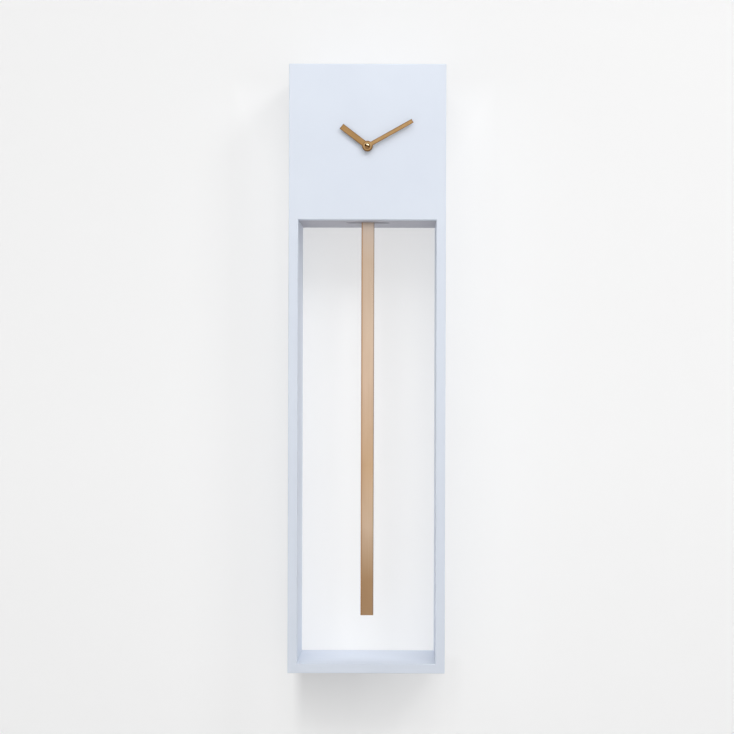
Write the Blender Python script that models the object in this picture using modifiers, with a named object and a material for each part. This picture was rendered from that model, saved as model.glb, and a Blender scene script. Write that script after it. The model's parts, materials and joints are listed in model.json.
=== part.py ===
"""Pendulum wall clock: a board case with an open window, a closed head with two hands, and a quartz
movement whose magnetic drive swings a long flat bar through a slot in the head's floor.

Metres, +Z up. The origin is the middle of the hanging rail's back face. +Y points into the wall, and the
clock faces -Y. Flat and turned pieces are given as (x, z) outlines and (radius, y) profiles.
"""

import math

import bmesh
import bpy

MM = 0.001
GAP = 0.3 * MM  # left between neighbouring pieces

# Case
CASE_WIDTH = 200 * MM
CASE_HEIGHT = 775 * MM
CASE_DEPTH = 100 * MM
BOARD = 12 * MM
HEAD_HEIGHT = 198 * MM
EDGE_ROUND = 0.8 * MM
RAIL_HEIGHT = 30 * MM
RAIL_THICKNESS = 18 * MM
GLUE_BLOCK = 12 * MM
GLUE_BLOCK_END = 18 * MM  # from the block's ends to the floor board and the top board
SLOT_LENGTH = 56 * MM
SLOT_WIDTH = 12 * MM
BUMPER_RADIUS = 4 * MM
BUMPER_THICKNESS = 1 * MM

TOP = RAIL_HEIGHT / 2 + BOARD
BOTTOM = TOP - CASE_HEIGHT
HEAD_TOP = TOP - BOARD
HEAD_BOTTOM = TOP - HEAD_HEIGHT
HALF_WIDTH = CASE_WIDTH / 2
INNER_HALF = HALF_WIDTH - BOARD
FITTED_HALF = INNER_HALF - GAP
FRONT = -CASE_DEPTH
PANEL_BACK = FRONT + BOARD

# Keyhole plates, let into the rail below its back face
PLATE_PLACES = (("left", -60 * MM), ("right", 60 * MM))
PLATE_LENGTH = 45 * MM
PLATE_HEIGHT = 16 * MM
PLATE_THICKNESS = 1.2 * MM
PLATE_BACK = -2 * MM
PLATE_CORNER = 4 * MM
PLATE_FRONT = PLATE_BACK - PLATE_THICKNESS
PLATE_SCREW_SPACING = 35 * MM
PLATE_SCREW_SINK = 3.25 * MM  # radius of a screw's countersink at the plate's back
PLATE_POCKET_DEPTH = -PLATE_FRONT + GAP
SCREW_SHANK = 1.5 * MM
SCREW_TIP = 0.6 * MM
SCREW_TAPER = 1.5 * MM
SCREW_LENGTH = 13 * MM
SCREW_HEAD_SUNK = 0.1 * MM
KEYHOLE_WIDE = 4.6 * MM
KEYHOLE_NARROW = 2.3 * MM
KEYHOLE_DROP = 5 * MM
SCREW_HEAD_ROOM = 9 * MM  # depth of the hollow behind each keyhole
HOLLOW_HALF = KEYHOLE_WIDE + 1 * MM

# Hands and their shaft
SHAFT_Z = TOP - 105.5 * MM
MINUTE_ANGLE = math.radians(60.7)  # clockwise from twelve, seen from the front
HOUR_ANGLE = math.radians(307.4)
MINUTE_LENGTH = 65.5 * MM
MINUTE_WIDTH = 5.2 * MM
MINUTE_HUB = 6.2 * MM
HOUR_LENGTH = 41.5 * MM
HOUR_WIDTH = 7.6 * MM
HOUR_HUB = 6.75 * MM
HAND_THICKNESS = 0.6 * MM
ARBOR_RADIUS = 1.5 * MM
PIPE_BORE = 1.75 * MM
PIPE_RADIUS = 2.4 * MM
BUSHING_BORE = 2.7 * MM
BUSHING_RADIUS = 4 * MM
FLANGE_RADIUS = 6 * MM
RUBBER_WASHER = 12 * MM
WASHER_THICKNESS = 0.5 * MM
NUT_CORNER = 5.77 * MM
NUT_THICKNESS = 2 * MM
CAP_RADIUS = 3.5 * MM
CAP_DOME = 2.9 * MM
HOUR_HAND_FRONT = FRONT - 4.6 * MM
MINUTE_HAND_FRONT = FRONT - 6.4 * MM
CAP_FRONT = FRONT - 10.5 * MM
CAP_BACK = MINUTE_HAND_FRONT - GAP
CAP_BORE_DEPTH = 2 * MM
BUSHING_FRONT = FRONT - 3.5 * MM

# Movement, placed by (u, v) from the shaft and by depth behind the floor of its gear chamber
MOVEMENT_SIDE = 56 * MM
MOVEMENT_DEPTH = 16 * MM
SHELL_WALL = 1.2 * MM
CASE_ROUND = 1 * MM
COVER_ROUND = 0.4 * MM
CHIP_ROUND = 0.2 * MM
MOVEMENT_FRONT = PANEL_BACK + 1.6 * MM
MOVEMENT_BACK = MOVEMENT_FRONT + MOVEMENT_DEPTH
GEAR_FLOOR = MOVEMENT_FRONT + SHELL_WALL
BAY_HEIGHT = 15.4 * MM
PIVOT_RADIUS = 0.6 * MM
PIVOT_HOLE = 0.8 * MM
PIVOT_LENGTH = 0.8 * MM
BEARING_DEPTH = 0.9 * MM
WHEEL_ARBOR = 0.8 * MM
KNOB_ARBOR = 1.3 * MM
KNOB_HOLE = 1.8 * MM
THIRD_HOLE = 1.3 * MM
MOTION_BORE = 1.1 * MM
MOTION_SLEEVE = 1.5 * MM
ROTOR_MAGNET = 3 * MM
ROTOR_OPENING = 3.5 * MM
FIT = 0.15 * MM  # left around a shaft inside a hole
WELD = 0.1 * MM  # how far a joined shape reaches into its neighbour

# Layers of the movement, as depths of their front and back
HOUR_LAYER = (0.5 * MM, 2.0 * MM)
MOTION_LAYER = (2.3 * MM, 3.8 * MM)
CENTRE_LAYER = (4.4 * MM, 5.6 * MM)
PLATE_LAYER = (5.8 * MM, 6.6 * MM)
THIRD_LAYER = (7.0 * MM, 8.2 * MM)
STATOR_LAYER = (8.5 * MM, 9.3 * MM)
SECOND_LAYER = (8.8 * MM, 10.0 * MM)
INTERMEDIATE_LAYER = (10.6 * MM, 11.8 * MM)
CIRCUIT_LAYER = (10.6 * MM, 11.4 * MM)
CHIP_LAYER = (11.7 * MM, 12.6 * MM)
COVER_LAYER = (12.9 * MM, 14.4 * MM)
KNOB_LAYER = (15.1 * MM, 17.6 * MM)
ROTOR_MAGNET_LAYER = (7.2 * MM, 10.2 * MM)
UPPER_ARBORS = (6.7 * MM, 12.8 * MM)  # of the wheels behind the middle plate, without their pivots
LOWER_ARBOR_FRONT = 0.2 * MM
KNOB_ARBOR_BACK = 16 * MM
HAND_ARBOR_BACK = 5.5 * MM
MOTION_POST_BACK = 4 * MM
HOUR_PIPE_BACK = 2.15 * MM

# Circuit and battery, placed by (u, v) from the shaft
STATOR_HALF = 5.5 * MM  # of the block around the rotor
STATOR_RIGHT = 21.5 * MM
STATOR_LOW = 11.4 * MM
STATOR_HIGH = 25.2 * MM
STATOR_LEG = 2.2 * MM
COIL_FLANGE = 2.0 * MM
COIL_WINDING = 1.7 * MM
COIL_RIM = 0.8 * MM
COIL_V = 23 * MM
BOARD_CORNERS = ((3.5 * MM, -9.0 * MM), (26.2 * MM, 5.5 * MM))
CHIP_CORNERS = ((12 * MM, -4 * MM), (18 * MM, 1 * MM))
CRYSTAL_RADIUS = 1 * MM
CRYSTAL_ENDS = (22 * MM, 15 * MM)
CRYSTAL_V = -4 * MM
CRYSTAL_DEPTH = 9.3 * MM
BATTERY_RADIUS = 7.1 * MM
BATTERY_LENGTH = 49 * MM
BATTERY_LEFT = -24.5 * MM
BATTERY_EDGE = 0.6 * MM
BUTTON_RADIUS = 2.6 * MM
BUTTON_LENGTH = 1.3 * MM
CONTACT_LEFT = 26.1 * MM
CONTACT_THICKNESS = 0.4 * MM
CONTACT_HALF_DEPTH = 4 * MM
CONTACT_HALF_HEIGHT = 4.5 * MM
SPRING_TURNS = 2
SPRING_STEPS = 14
SPRING_LEFT = -26.15 * MM
SPRING_RISE = 1.0 * MM
SPRING_WIDE = 4.6 * MM
SPRING_NARROW = 2.4 * MM
SPRING_WIRE = 0.3 * MM

# Tooth form, as shares of the module and of the pitch
ADDENDUM = 0.70
DEDENDUM = 0.95
TIP_HALF = 0.13
ROOT_HALF = 0.27

# Gear train: modules, and the places of the arbors
CANNON_MODULE = 0.4 * MM
HOUR_MODULE = 0.384 * MM
THIRD_MODULE = 21.6 / 68 * MM
CENTRE_MODULE = 21.6 / 72 * MM
SECOND_MODULE = 0.3 * MM
ROTOR_MODULE = 0.25 * MM
KNOB_MODULE = 0.5 * MM
SHAFT = (0.0, 0.0)
MOTION_SIDE = math.pi  # direction from one arbor to the next
THIRD_SIDE = math.radians(45)
INTERMEDIATE_SIDE = math.radians(135)
ROTOR_SIDE = math.radians(100)

# Pendulum and its drive
PIVOT_Z = -10 * MM
SWING_Y = -65 * MM
BAR_WIDTH = 16.6 * MM
BAR_THICKNESS = 3 * MM
BAR_FRONT = -61.5 * MM
BAR_TOP = BOTTOM + 640 * MM
BAR_BOTTOM = BOTTOM + 68 * MM
SLOT_Y = BAR_FRONT + BAR_THICKNESS / 2
RIVET_HEIGHTS = {"upper": BOTTOM + 630 * MM, "lower": BOTTOM + 616 * MM}
RIVET_HOLE = 1.3 * MM
STRAP_FRONT = -62.8 * MM
STRAP_BACK = -61.8 * MM
STRAP_HALF = 4 * MM
STRAP_END = 3 * MM
STRAP_RISE = 1 * MM
STRAP_KEYHOLE = (1.7 * MM, 2.7 * MM, 4.5 * MM)
RIVET_HEAD = 2.2 * MM
RIVET_SHANK = 1.0 * MM
RIVET_HEAD_HEIGHT = 0.8 * MM
STUD_Z = BOTTOM + 699 * MM
STUD_RADIUS = 1.5 * MM
STUD_HEAD = 2.4 * MM
STUD_NECK_BACK = -61.6 * MM
STUD_BACK = -60.8 * MM
HOUSING_HALF = 14 * MM
HOUSING_BOTTOM = SHAFT_Z + MOVEMENT_SIDE / 2 + GAP
HOUSING_TOP = -0.5 * MM
MAGNET_Z = PIVOT_Z - 30 * MM
MAGNET_RADIUS = 3.8 * MM
MAGNET_CUP = 5 * MM
MAGNET_THICKNESS = 2 * MM
DRIVE_COIL_OUTER = 6.5 * MM
DRIVE_COIL_WINDING = 6 * MM
DRIVE_COIL_CORE = 1.5 * MM
DRIVE_COIL_DEPTH = 8 * MM
LID_THICKNESS = 1 * MM
ARM_FRONT = -67.6 * MM
ARM_BACK = -65.4 * MM
ARM_HALF = 4 * MM
ARM_OPENING = 2.3 * MM
HUB_RADIUS = 3.2 * MM
HUB_BORE = 1.45 * MM
HUB_BACK = -64.2 * MM
PIN_RADIUS = 1.25 * MM
PIN_HEAD = 2.4 * MM
PIN_HEAD_HEIGHT = 1.3 * MM
PIN_BACK = -62.8 * MM
PIN_HOLE = 1.4 * MM
CLIP_RADIUS = 3 * MM
CLIP_FRONT = -63.9 * MM
CLIP_BACK = -63.3 * MM

ROUND_STEPS = 24
SMALL_STEPS = 12
DOME_STEPS = 6

PAINT = ("painted_board", (0.730, 0.790, 0.880), 0.55, 0.0)
RAW_WOOD = ("raw_board", (0.560, 0.400, 0.240), 0.75, 0.0)
GOLD = ("gold_metal", (0.560, 0.310, 0.120), 0.30, 1.0)
BAR_GOLD = ("satin_gold_metal", (0.640, 0.440, 0.280), 0.42, 1.0)
BRASS = ("brass", (0.720, 0.520, 0.220), 0.32, 1.0)
STEEL = ("steel", (0.560, 0.570, 0.580), 0.35, 1.0)
BLACK = ("black_plastic", (0.018, 0.018, 0.020), 0.50, 0.0)
GREY = ("grey_plastic", (0.300, 0.310, 0.320), 0.50, 0.0)
WHITE = ("white_plastic", (0.800, 0.790, 0.760), 0.45, 0.0)
RUBBER = ("rubber", (0.025, 0.025, 0.025), 0.80, 0.0)
GREEN = ("circuit_green", (0.020, 0.160, 0.060), 0.45, 0.0)
COPPER = ("copper_wire", (0.720, 0.270, 0.120), 0.35, 1.0)
BATTERY_SKIN = ("battery_skin", (0.100, 0.110, 0.130), 0.35, 0.3)


# Scene


def clear_scene():
    for old in list(bpy.data.objects):
        bpy.data.objects.remove(old, do_unlink=True)


def new_collection(name):
    collection = bpy.data.collections.new(name)
    bpy.context.scene.collection.children.link(collection)
    return collection


def move_to(piece, collection):
    for holder in list(piece.users_collection):
        holder.objects.unlink(piece)
    collection.objects.link(piece)


def coloured(kind):
    """The material of this kind, made on first use."""
    name, colour, roughness, metallic = kind
    material = bpy.data.materials.get(name)
    if material is None:
        material = bpy.data.materials.new(name)
        material.use_nodes = True
        shader = material.node_tree.nodes["Principled BSDF"]
        shader.inputs["Base Color"].default_value = (*colour, 1.0)
        shader.inputs["Roughness"].default_value = roughness
        shader.inputs["Metallic"].default_value = metallic
    return material


def keep(piece, kind, axis=None):
    """Makes a finished shape one of the clock's pieces, turning with the empty on its axis."""
    move_to(piece, PARTS)
    piece.data.materials.clear()
    piece.data.materials.append(coloured(kind))
    if axis is not None:
        bpy.context.view_layer.update()
        piece.parent = axis
        piece.matrix_parent_inverse = axis.matrix_world.inverted()
    return piece


def axis_empty(name, x, y, z):
    """An empty on a joint's axis, which runs along Y."""
    empty = bpy.data.objects.new(name, None)
    empty.location = (x, y, z)
    PARTS.objects.link(empty)
    return empty


# Outlines, as lists of (x, z)


def arc(centre, radius, start, end, steps):
    """Points on a circle from one angle to another, both included."""
    angles = [start + (end - start) * i / steps for i in range(steps + 1)]
    return [(centre[0] + radius * math.cos(a), centre[1] + radius * math.sin(a)) for a in angles]


def circle(centre, radius, steps=ROUND_STEPS):
    return arc(centre, radius, 0, 2 * math.pi * (1 - 1 / steps), steps - 1)


def rectangle(low, high):
    return [low, (high[0], low[1]), high, (low[0], high[1])]


def upright_strip(x, low, high, half_width):
    """A strip with round ends, whose end circles are centred at the heights low and high."""
    top = arc((x, high), half_width, 0, math.pi, SMALL_STEPS)
    return top + arc((x, low), half_width, math.pi, 2 * math.pi, SMALL_STEPS)


def disc_with_stem(centre, radius, stem_half, stem):
    """The lower part of a disc, open at the top where the points of a stem close it."""
    side = math.acos(stem_half / radius)
    return stem + arc(centre, radius, math.pi - side, 2 * math.pi + side, ROUND_STEPS)


def keyhole(x, z, narrow, wide, drop):
    """A narrow round slot end at (x, z), above a wide round opening."""
    return disc_with_stem((x, z - drop), wide, narrow, arc((x, z), narrow, 0, math.pi, SMALL_STEPS))


def hand_outline(hub, width, length):
    """A straight square-ended hand that points up from its round hub."""
    stem = [(width / 2, length), (-width / 2, length)]
    return disc_with_stem((0, 0), hub, width / 2, stem)


def gear_outline(teeth, module, phase):
    """Low trapezium teeth, the first one centred at the angle phase."""
    pitch_radius = teeth * module / 2
    root = pitch_radius - DEDENDUM * module
    tip = pitch_radius + ADDENDUM * module
    corners = ((-ROOT_HALF, root), (-TIP_HALF, tip), (TIP_HALF, tip), (ROOT_HALF, root))
    points = []
    for tooth in range(teeth):
        for share, radius in corners:
            angle = phase + (tooth + share) * 2 * math.pi / teeth
            points.append((radius * math.cos(angle), radius * math.sin(angle)))
    return points


def meshing_phase(direction, phase, teeth, other_teeth):
    """The phase of a gear that meshes with one at this phase, lying in this direction from it."""
    shift = (phase - direction) * teeth / other_teeth
    return direction + math.pi - shift + math.pi / other_teeth


def beside(start, direction, distance):
    return (start[0] + distance * math.cos(direction), start[1] + distance * math.sin(direction))


# Shapes


def box(name, low, high, edge=0.0):
    """A box between two corners, with its edges rounded."""
    centre = [(a + b) / 2 for a, b in zip(low, high)]
    bpy.ops.mesh.primitive_cube_add(size=1.0, location=centre)
    piece = bpy.context.object
    piece.name = name
    piece.scale = [b - a for a, b in zip(low, high)]
    bpy.ops.object.transform_apply(location=False, rotation=False, scale=True)
    if edge:
        rounding = piece.modifiers.new("rounding", "BEVEL")
        rounding.width = edge
        rounding.segments = 2
    return piece


def flat(name, loops, front, back, at=(0.0, 0.0), turn=0.0):
    """A flat piece that faces the front, cut to the first loop, with the other loops as its holes."""
    outline = bpy.data.curves.new(name, "CURVE")
    outline.dimensions = "2D"
    outline.fill_mode = "BOTH"
    outline.extrude = (back - front) / 2
    for loop in loops:
        spline = outline.splines.new("POLY")
        spline.points.add(len(loop) - 1)
        for point, (x, z) in zip(spline.points, loop):
            point.co = (x, z, 0.0, 1.0)
        spline.use_cyclic_u = True
    piece = bpy.data.objects.new(name, outline)
    piece.location = (at[0], (front + back) / 2, at[1])
    piece.rotation_euler = (math.pi / 2, turn, 0.0)
    PARTS.objects.link(piece)
    return piece


def as_mesh(piece):
    """The mesh object that a curve object makes, with its caps welded on."""
    bpy.context.view_layer.update()
    name = piece.name
    graph = bpy.context.evaluated_depsgraph_get()
    mesh = bpy.data.meshes.new_from_object(piece.evaluated_get(graph))
    shape = bmesh.new()
    shape.from_mesh(mesh)
    bmesh.ops.remove_doubles(shape, verts=shape.verts, dist=0.0005 * MM)
    shape.to_mesh(mesh)
    shape.free()
    solid = bpy.data.objects.new(name + "_solid", mesh)
    solid.matrix_world = piece.matrix_world
    PARTS.objects.link(solid)
    bpy.data.objects.remove(piece)
    solid.name = name
    return solid


def turned(name, profile, at, along="Y", steps=ROUND_STEPS):
    """A piece turned about the line through (x, y or z) = at.

    Along Y the profile's (radius, y) points run from front to back and at is (x, z). Along X they are
    (radius, x) points from right to left and at is (y, z). A profile off the axis closes into a ring.
    """
    sign = -1 if along == "Y" else 1
    mesh = bpy.data.meshes.new(name)
    edges = [(i, i + 1) for i in range(len(profile) - 1)]
    if profile[0][0] > 0:
        edges.append((len(profile) - 1, 0))
    mesh.from_pydata([(radius, 0.0, sign * place) for radius, place in profile], edges, [])
    piece = bpy.data.objects.new(name, mesh)
    if along == "Y":
        piece.location = (at[0], 0.0, at[1])
        piece.rotation_euler = (math.pi / 2, 0.0, 0.0)
    else:
        piece.location = (0.0, at[0], at[1])
        piece.rotation_euler = (0.0, math.pi / 2, 0.0)
    turning = piece.modifiers.new("turning", "SCREW")
    turning.steps = steps
    turning.render_steps = steps
    turning.use_merge_vertices = True
    turning.merge_threshold = 0.001 * MM
    PARTS.objects.link(piece)
    return piece


def rod(name, radius, front, back, at, along="Y", steps=SMALL_STEPS):
    return turned(name, [(0, front), (radius, front), (radius, back), (0, back)], at, along, steps)


def combine(piece, other, operation):
    """Cuts another shape from a piece, or joins it on."""
    move_to(other, CUTTERS)
    other.hide_render = True
    other.display_type = "WIRE"
    step = piece.modifiers.new(operation.lower(), "BOOLEAN")
    step.operation = operation
    step.object = other


def cut(piece, other):
    combine(piece, other, "DIFFERENCE")


def join(piece, other):
    combine(piece, other, "UNION")


# Case


def make_side_boards():
    for side, sign in (("left", -1), ("right", 1)):
        xs = sorted((sign * HALF_WIDTH, sign * INNER_HALF))
        board = box(f"{side}_side_board", (xs[0], FRONT, BOTTOM), (xs[1], 0.0, TOP), EDGE_ROUND)
        keep(board, PAINT)


def make_end_boards():
    for name, low, high in (("top_board", HEAD_TOP, TOP), ("bottom_board", BOTTOM, BOTTOM + BOARD)):
        board = box(name, (-FITTED_HALF, FRONT, low), (FITTED_HALF, 0.0, high), EDGE_ROUND)
        keep(board, PAINT)


def make_head_front_panel():
    outline = rectangle((-FITTED_HALF, HEAD_BOTTOM), (FITTED_HALF, HEAD_TOP - GAP))
    hole = circle((0, SHAFT_Z), BUSHING_RADIUS + GAP)
    keep(flat("head_front_panel", [outline, hole], FRONT, PANEL_BACK), PAINT)


def make_head_floor_board():
    low = (-FITTED_HALF, PANEL_BACK + GAP, HEAD_BOTTOM)
    board = box("head_floor_board", low, (FITTED_HALF, 0.0, HEAD_BOTTOM + BOARD))
    end = SLOT_LENGTH / 2 - SLOT_WIDTH / 2
    right = arc((end, 0), SLOT_WIDTH / 2, -math.pi / 2, math.pi / 2, SMALL_STEPS)
    left = arc((-end, 0), SLOT_WIDTH / 2, math.pi / 2, 3 * math.pi / 2, SMALL_STEPS)
    slot = flat("pendulum_slot", [right + left], -BOARD, BOARD)
    slot.rotation_euler = (0.0, 0.0, 0.0)
    slot.location = (0.0, SLOT_Y, HEAD_BOTTOM + BOARD / 2)
    cut(board, as_mesh(slot))
    keep(board, PAINT)


def make_hanging_rail():
    half_height = RAIL_HEIGHT / 2 - GAP
    rail = box("hanging_rail", (-FITTED_HALF, -RAIL_THICKNESS, -half_height),
               (FITTED_HALF, 0.0, half_height), EDGE_ROUND)
    pocket_x = PLATE_LENGTH / 2 + GAP
    pocket_z = PLATE_HEIGHT / 2 + GAP
    hollow_z = PLATE_HEIGHT / 2
    hollow_front = -PLATE_POCKET_DEPTH - SCREW_HEAD_ROOM
    for side, x in PLATE_PLACES:
        cut(rail, box(f"plate_pocket_{side}", (x - pocket_x, -PLATE_POCKET_DEPTH, -pocket_z),
                      (x + pocket_x, PLATE_POCKET_DEPTH, pocket_z)))
        cut(rail, box(f"head_hollow_{side}", (x - HOLLOW_HALF, hollow_front, -hollow_z),
                      (x + HOLLOW_HALF, -PLATE_POCKET_DEPTH + GAP, hollow_z)))
        for end in (-1, 1):
            place = (x + end * PLATE_SCREW_SPACING / 2, 0.0)
            cut(rail, rod(f"pilot_{side}_{end}", SCREW_SHANK + FIT, -SCREW_LENGTH - GAP, 0.0, place))
    keep(rail, RAW_WOOD)


def make_keyhole_plates():
    """Two steel plates with a keyhole each, held by countersunk screws."""
    half_length = PLATE_LENGTH / 2 - PLATE_CORNER
    half_height = PLATE_HEIGHT / 2 - PLATE_CORNER
    outline = []
    for x, z, quarter in ((1, 1, 0), (-1, 1, 1), (-1, -1, 2), (1, -1, 3)):
        start = quarter * math.pi / 2
        outline += arc((x * half_length, z * half_height), PLATE_CORNER, start, start + math.pi / 2, 4)
    slot = keyhole(0, KEYHOLE_DROP - KEYHOLE_NARROW, KEYHOLE_NARROW, KEYHOLE_WIDE, KEYHOLE_DROP)

    sink_front = (PLATE_SCREW_SINK - PLATE_THICKNESS - WELD, PLATE_FRONT - WELD)
    sink_back = (PLATE_SCREW_SINK + WELD, PLATE_BACK + WELD)
    sink = [(0, sink_front[1]), sink_front, sink_back, (0, sink_back[1])]
    head_back = PLATE_BACK - SCREW_HEAD_SUNK
    head = PLATE_SCREW_SINK - SCREW_HEAD_SUNK - GAP - WELD
    screw = [(0, -SCREW_LENGTH), (SCREW_TIP, -SCREW_LENGTH), (SCREW_SHANK, SCREW_TAPER - SCREW_LENGTH),
             (SCREW_SHANK, head_back - head + SCREW_SHANK), (head, head_back), (0, head_back)]
    for side, x in PLATE_PLACES:
        plate = as_mesh(flat(f"keyhole_plate_{side}", [outline, slot], PLATE_FRONT, PLATE_BACK, (x, 0.0)))
        for end, sign in (("outer", 1), ("inner", -1)):
            place = (x + math.copysign(PLATE_SCREW_SPACING / 2, x) * sign, 0.0)
            cut(plate, turned(f"screw_sink_{side}_{end}", sink, place, steps=SMALL_STEPS))
            keep(turned(f"keyhole_screw_{side}_{end}", screw, place, steps=SMALL_STEPS), STEEL)
        keep(plate, STEEL)


def make_glue_blocks():
    for side, sign in (("left", -1), ("right", 1)):
        xs = sorted((sign * FITTED_HALF, sign * (FITTED_HALF - GLUE_BLOCK)))
        low = (xs[0], PANEL_BACK + GAP, HEAD_BOTTOM + BOARD + GLUE_BLOCK_END)
        high = (xs[1], PANEL_BACK + GAP + GLUE_BLOCK, HEAD_TOP - GLUE_BLOCK_END)
        keep(box(f"panel_glue_block_{side}", low, high, EDGE_ROUND), RAW_WOOD)


def make_wall_bumpers():
    for side, sign in (("left", -1), ("right", 1)):
        place = (sign * (HALF_WIDTH - BOARD / 2), BOTTOM + BOARD)
        back = GAP + BUMPER_THICKNESS
        keep(rod(f"wall_bumper_{side}", BUMPER_RADIUS, GAP, back, place, steps=ROUND_STEPS), RUBBER)


# Movement


def layer(depth):
    """The Y of a plane this deep behind the gear chamber's floor."""
    return GEAR_FLOOR + depth


def around_shaft(place):
    return (place[0], SHAFT_Z + place[1])


def toothed(name, teeth, module, phase, span, place, bore=None):
    """A plain gear between two depths of the chamber."""
    loops = [gear_outline(teeth, module, phase)]
    if bore:
        loops.append(circle((0, 0), bore, SMALL_STEPS))
    return flat(name, loops, layer(span[0]), layer(span[1]), around_shaft(place))


def arbor(name, radius, front, back, place):
    """An arbor between two depths, with a thin pivot at each end."""
    front, back = layer(front), layer(back)
    profile = [(0, front - PIVOT_LENGTH), (PIVOT_RADIUS, front - PIVOT_LENGTH), (PIVOT_RADIUS, front),
               (radius, front), (radius, back), (PIVOT_RADIUS, back), (PIVOT_RADIUS, back + PIVOT_LENGTH),
               (0, back + PIVOT_LENGTH)]
    return turned(name, profile, around_shaft(place), steps=SMALL_STEPS)


MOTION = beside(SHAFT, MOTION_SIDE, 24 * CANNON_MODULE)
KNOB = beside(MOTION, MOTION_SIDE, 24 * CANNON_MODULE)
THIRD = beside(SHAFT, THIRD_SIDE, 34 * THIRD_MODULE)
INTERMEDIATE = beside(SHAFT, INTERMEDIATE_SIDE, 36 * SECOND_MODULE)
ROTOR = beside(INTERMEDIATE, ROTOR_SIDE, 35 * ROTOR_MODULE)


def make_movement_case():
    half = MOVEMENT_SIDE / 2
    inner = half - SHELL_WALL
    low = (-half, MOVEMENT_FRONT, SHAFT_Z - half)
    case = box("movement_case", low, (half, MOVEMENT_BACK, SHAFT_Z + half), CASE_ROUND)
    bay_top = SHAFT_Z - inner + BAY_HEIGHT
    beyond = MOVEMENT_BACK + CASE_ROUND
    cut(case, box("battery_bay", (-inner, GEAR_FLOOR, SHAFT_Z - inner), (inner, beyond, bay_top)))
    chamber_low = (-inner, GEAR_FLOOR, bay_top + SHELL_WALL)
    cut(case, box("gear_chamber", chamber_low, (inner, beyond, SHAFT_Z + inner)))
    shaft_hole = rod("shaft_hole", BUSHING_RADIUS + FIT, MOVEMENT_FRONT - WELD, layer(WELD),
                     around_shaft(SHAFT), steps=ROUND_STEPS)
    cut(case, shaft_hole)
    for name, place in (("third", THIRD), ("knob", KNOB)):
        cut(case, rod(f"{name}_front_bearing", PIVOT_HOLE, layer(-BEARING_DEPTH), layer(WELD),
                      around_shaft(place)))
    join(case, rod("motion_post", WHEEL_ARBOR, layer(-SHELL_WALL / 2), layer(MOTION_POST_BACK),
                   around_shaft(MOTION)))
    keep(case, BLACK)


def make_movement_back_cover():
    half = MOVEMENT_SIDE / 2 - SHELL_WALL - GAP
    low = SHAFT_Z - MOVEMENT_SIDE / 2 + 2 * SHELL_WALL + BAY_HEIGHT + GAP
    front, back = (layer(depth) for depth in COVER_LAYER)
    cover = box("movement_back_cover", (-half, front, low), (half, back, SHAFT_Z + half), COVER_ROUND)
    bearings = (("second", SHAFT), ("third", THIRD), ("intermediate", INTERMEDIATE), ("rotor", ROTOR))
    for name, place in bearings:
        cut(cover, rod(f"{name}_back_bearing", PIVOT_HOLE, front - WELD, front + BEARING_DEPTH,
                       around_shaft(place)))
    cut(cover, rod("knob_hole", KNOB_HOLE, front - WELD, back + WELD, around_shaft(KNOB)))
    keep(cover, BLACK)


def make_middle_plate():
    half = MOVEMENT_SIDE / 2 - SHELL_WALL - GAP
    low = -MOVEMENT_SIDE / 2 + 2 * SHELL_WALL + BAY_HEIGHT + GAP
    loops = [rectangle((-half, low), (half, half)), circle(THIRD, THIRD_HOLE, SMALL_STEPS),
             circle(KNOB, KNOB_HOLE, SMALL_STEPS)]
    loops += [circle(place, PIVOT_HOLE, SMALL_STEPS) for place in (SHAFT, INTERMEDIATE, ROTOR)]
    front, back = (layer(depth) for depth in PLATE_LAYER)
    keep(flat("middle_plate", loops, front, back, around_shaft(SHAFT)), GREY)


def make_front_fixings():
    """The threaded bushing through the panel, and what clamps the movement to it."""
    flange_front = PANEL_BACK + GAP
    flange_back = MOVEMENT_FRONT - GAP
    tube_back = GEAR_FLOOR - GAP
    profile = [(BUSHING_RADIUS, BUSHING_FRONT), (BUSHING_RADIUS, flange_front), (FLANGE_RADIUS, flange_front),
               (FLANGE_RADIUS, flange_back), (BUSHING_RADIUS, flange_back), (BUSHING_RADIUS, tube_back),
               (BUSHING_BORE, tube_back), (BUSHING_BORE, BUSHING_FRONT)]
    keep(turned("threaded_bushing", profile, around_shaft(SHAFT)), BRASS)
    place = around_shaft(SHAFT)
    washer_back = FRONT - GAP
    nut_back = washer_back - WASHER_THICKNESS - GAP
    rings = (
        ("rubber_washer", RUBBER_WASHER, ROUND_STEPS, FLANGE_RADIUS + GAP, flange_front, flange_back, RUBBER),
        ("brass_washer", FLANGE_RADIUS, ROUND_STEPS, BUSHING_RADIUS + GAP, washer_back - WASHER_THICKNESS,
         washer_back, BRASS),
        ("hex_nut", NUT_CORNER, 6, BUSHING_RADIUS + FIT, nut_back - NUT_THICKNESS, nut_back, BRASS),
    )
    for name, radius, steps, bore, front, back, kind in rings:
        loops = [circle(SHAFT, radius, steps), circle(SHAFT, bore)]
        keep(flat(name, loops, front, back, place), kind)


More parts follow.
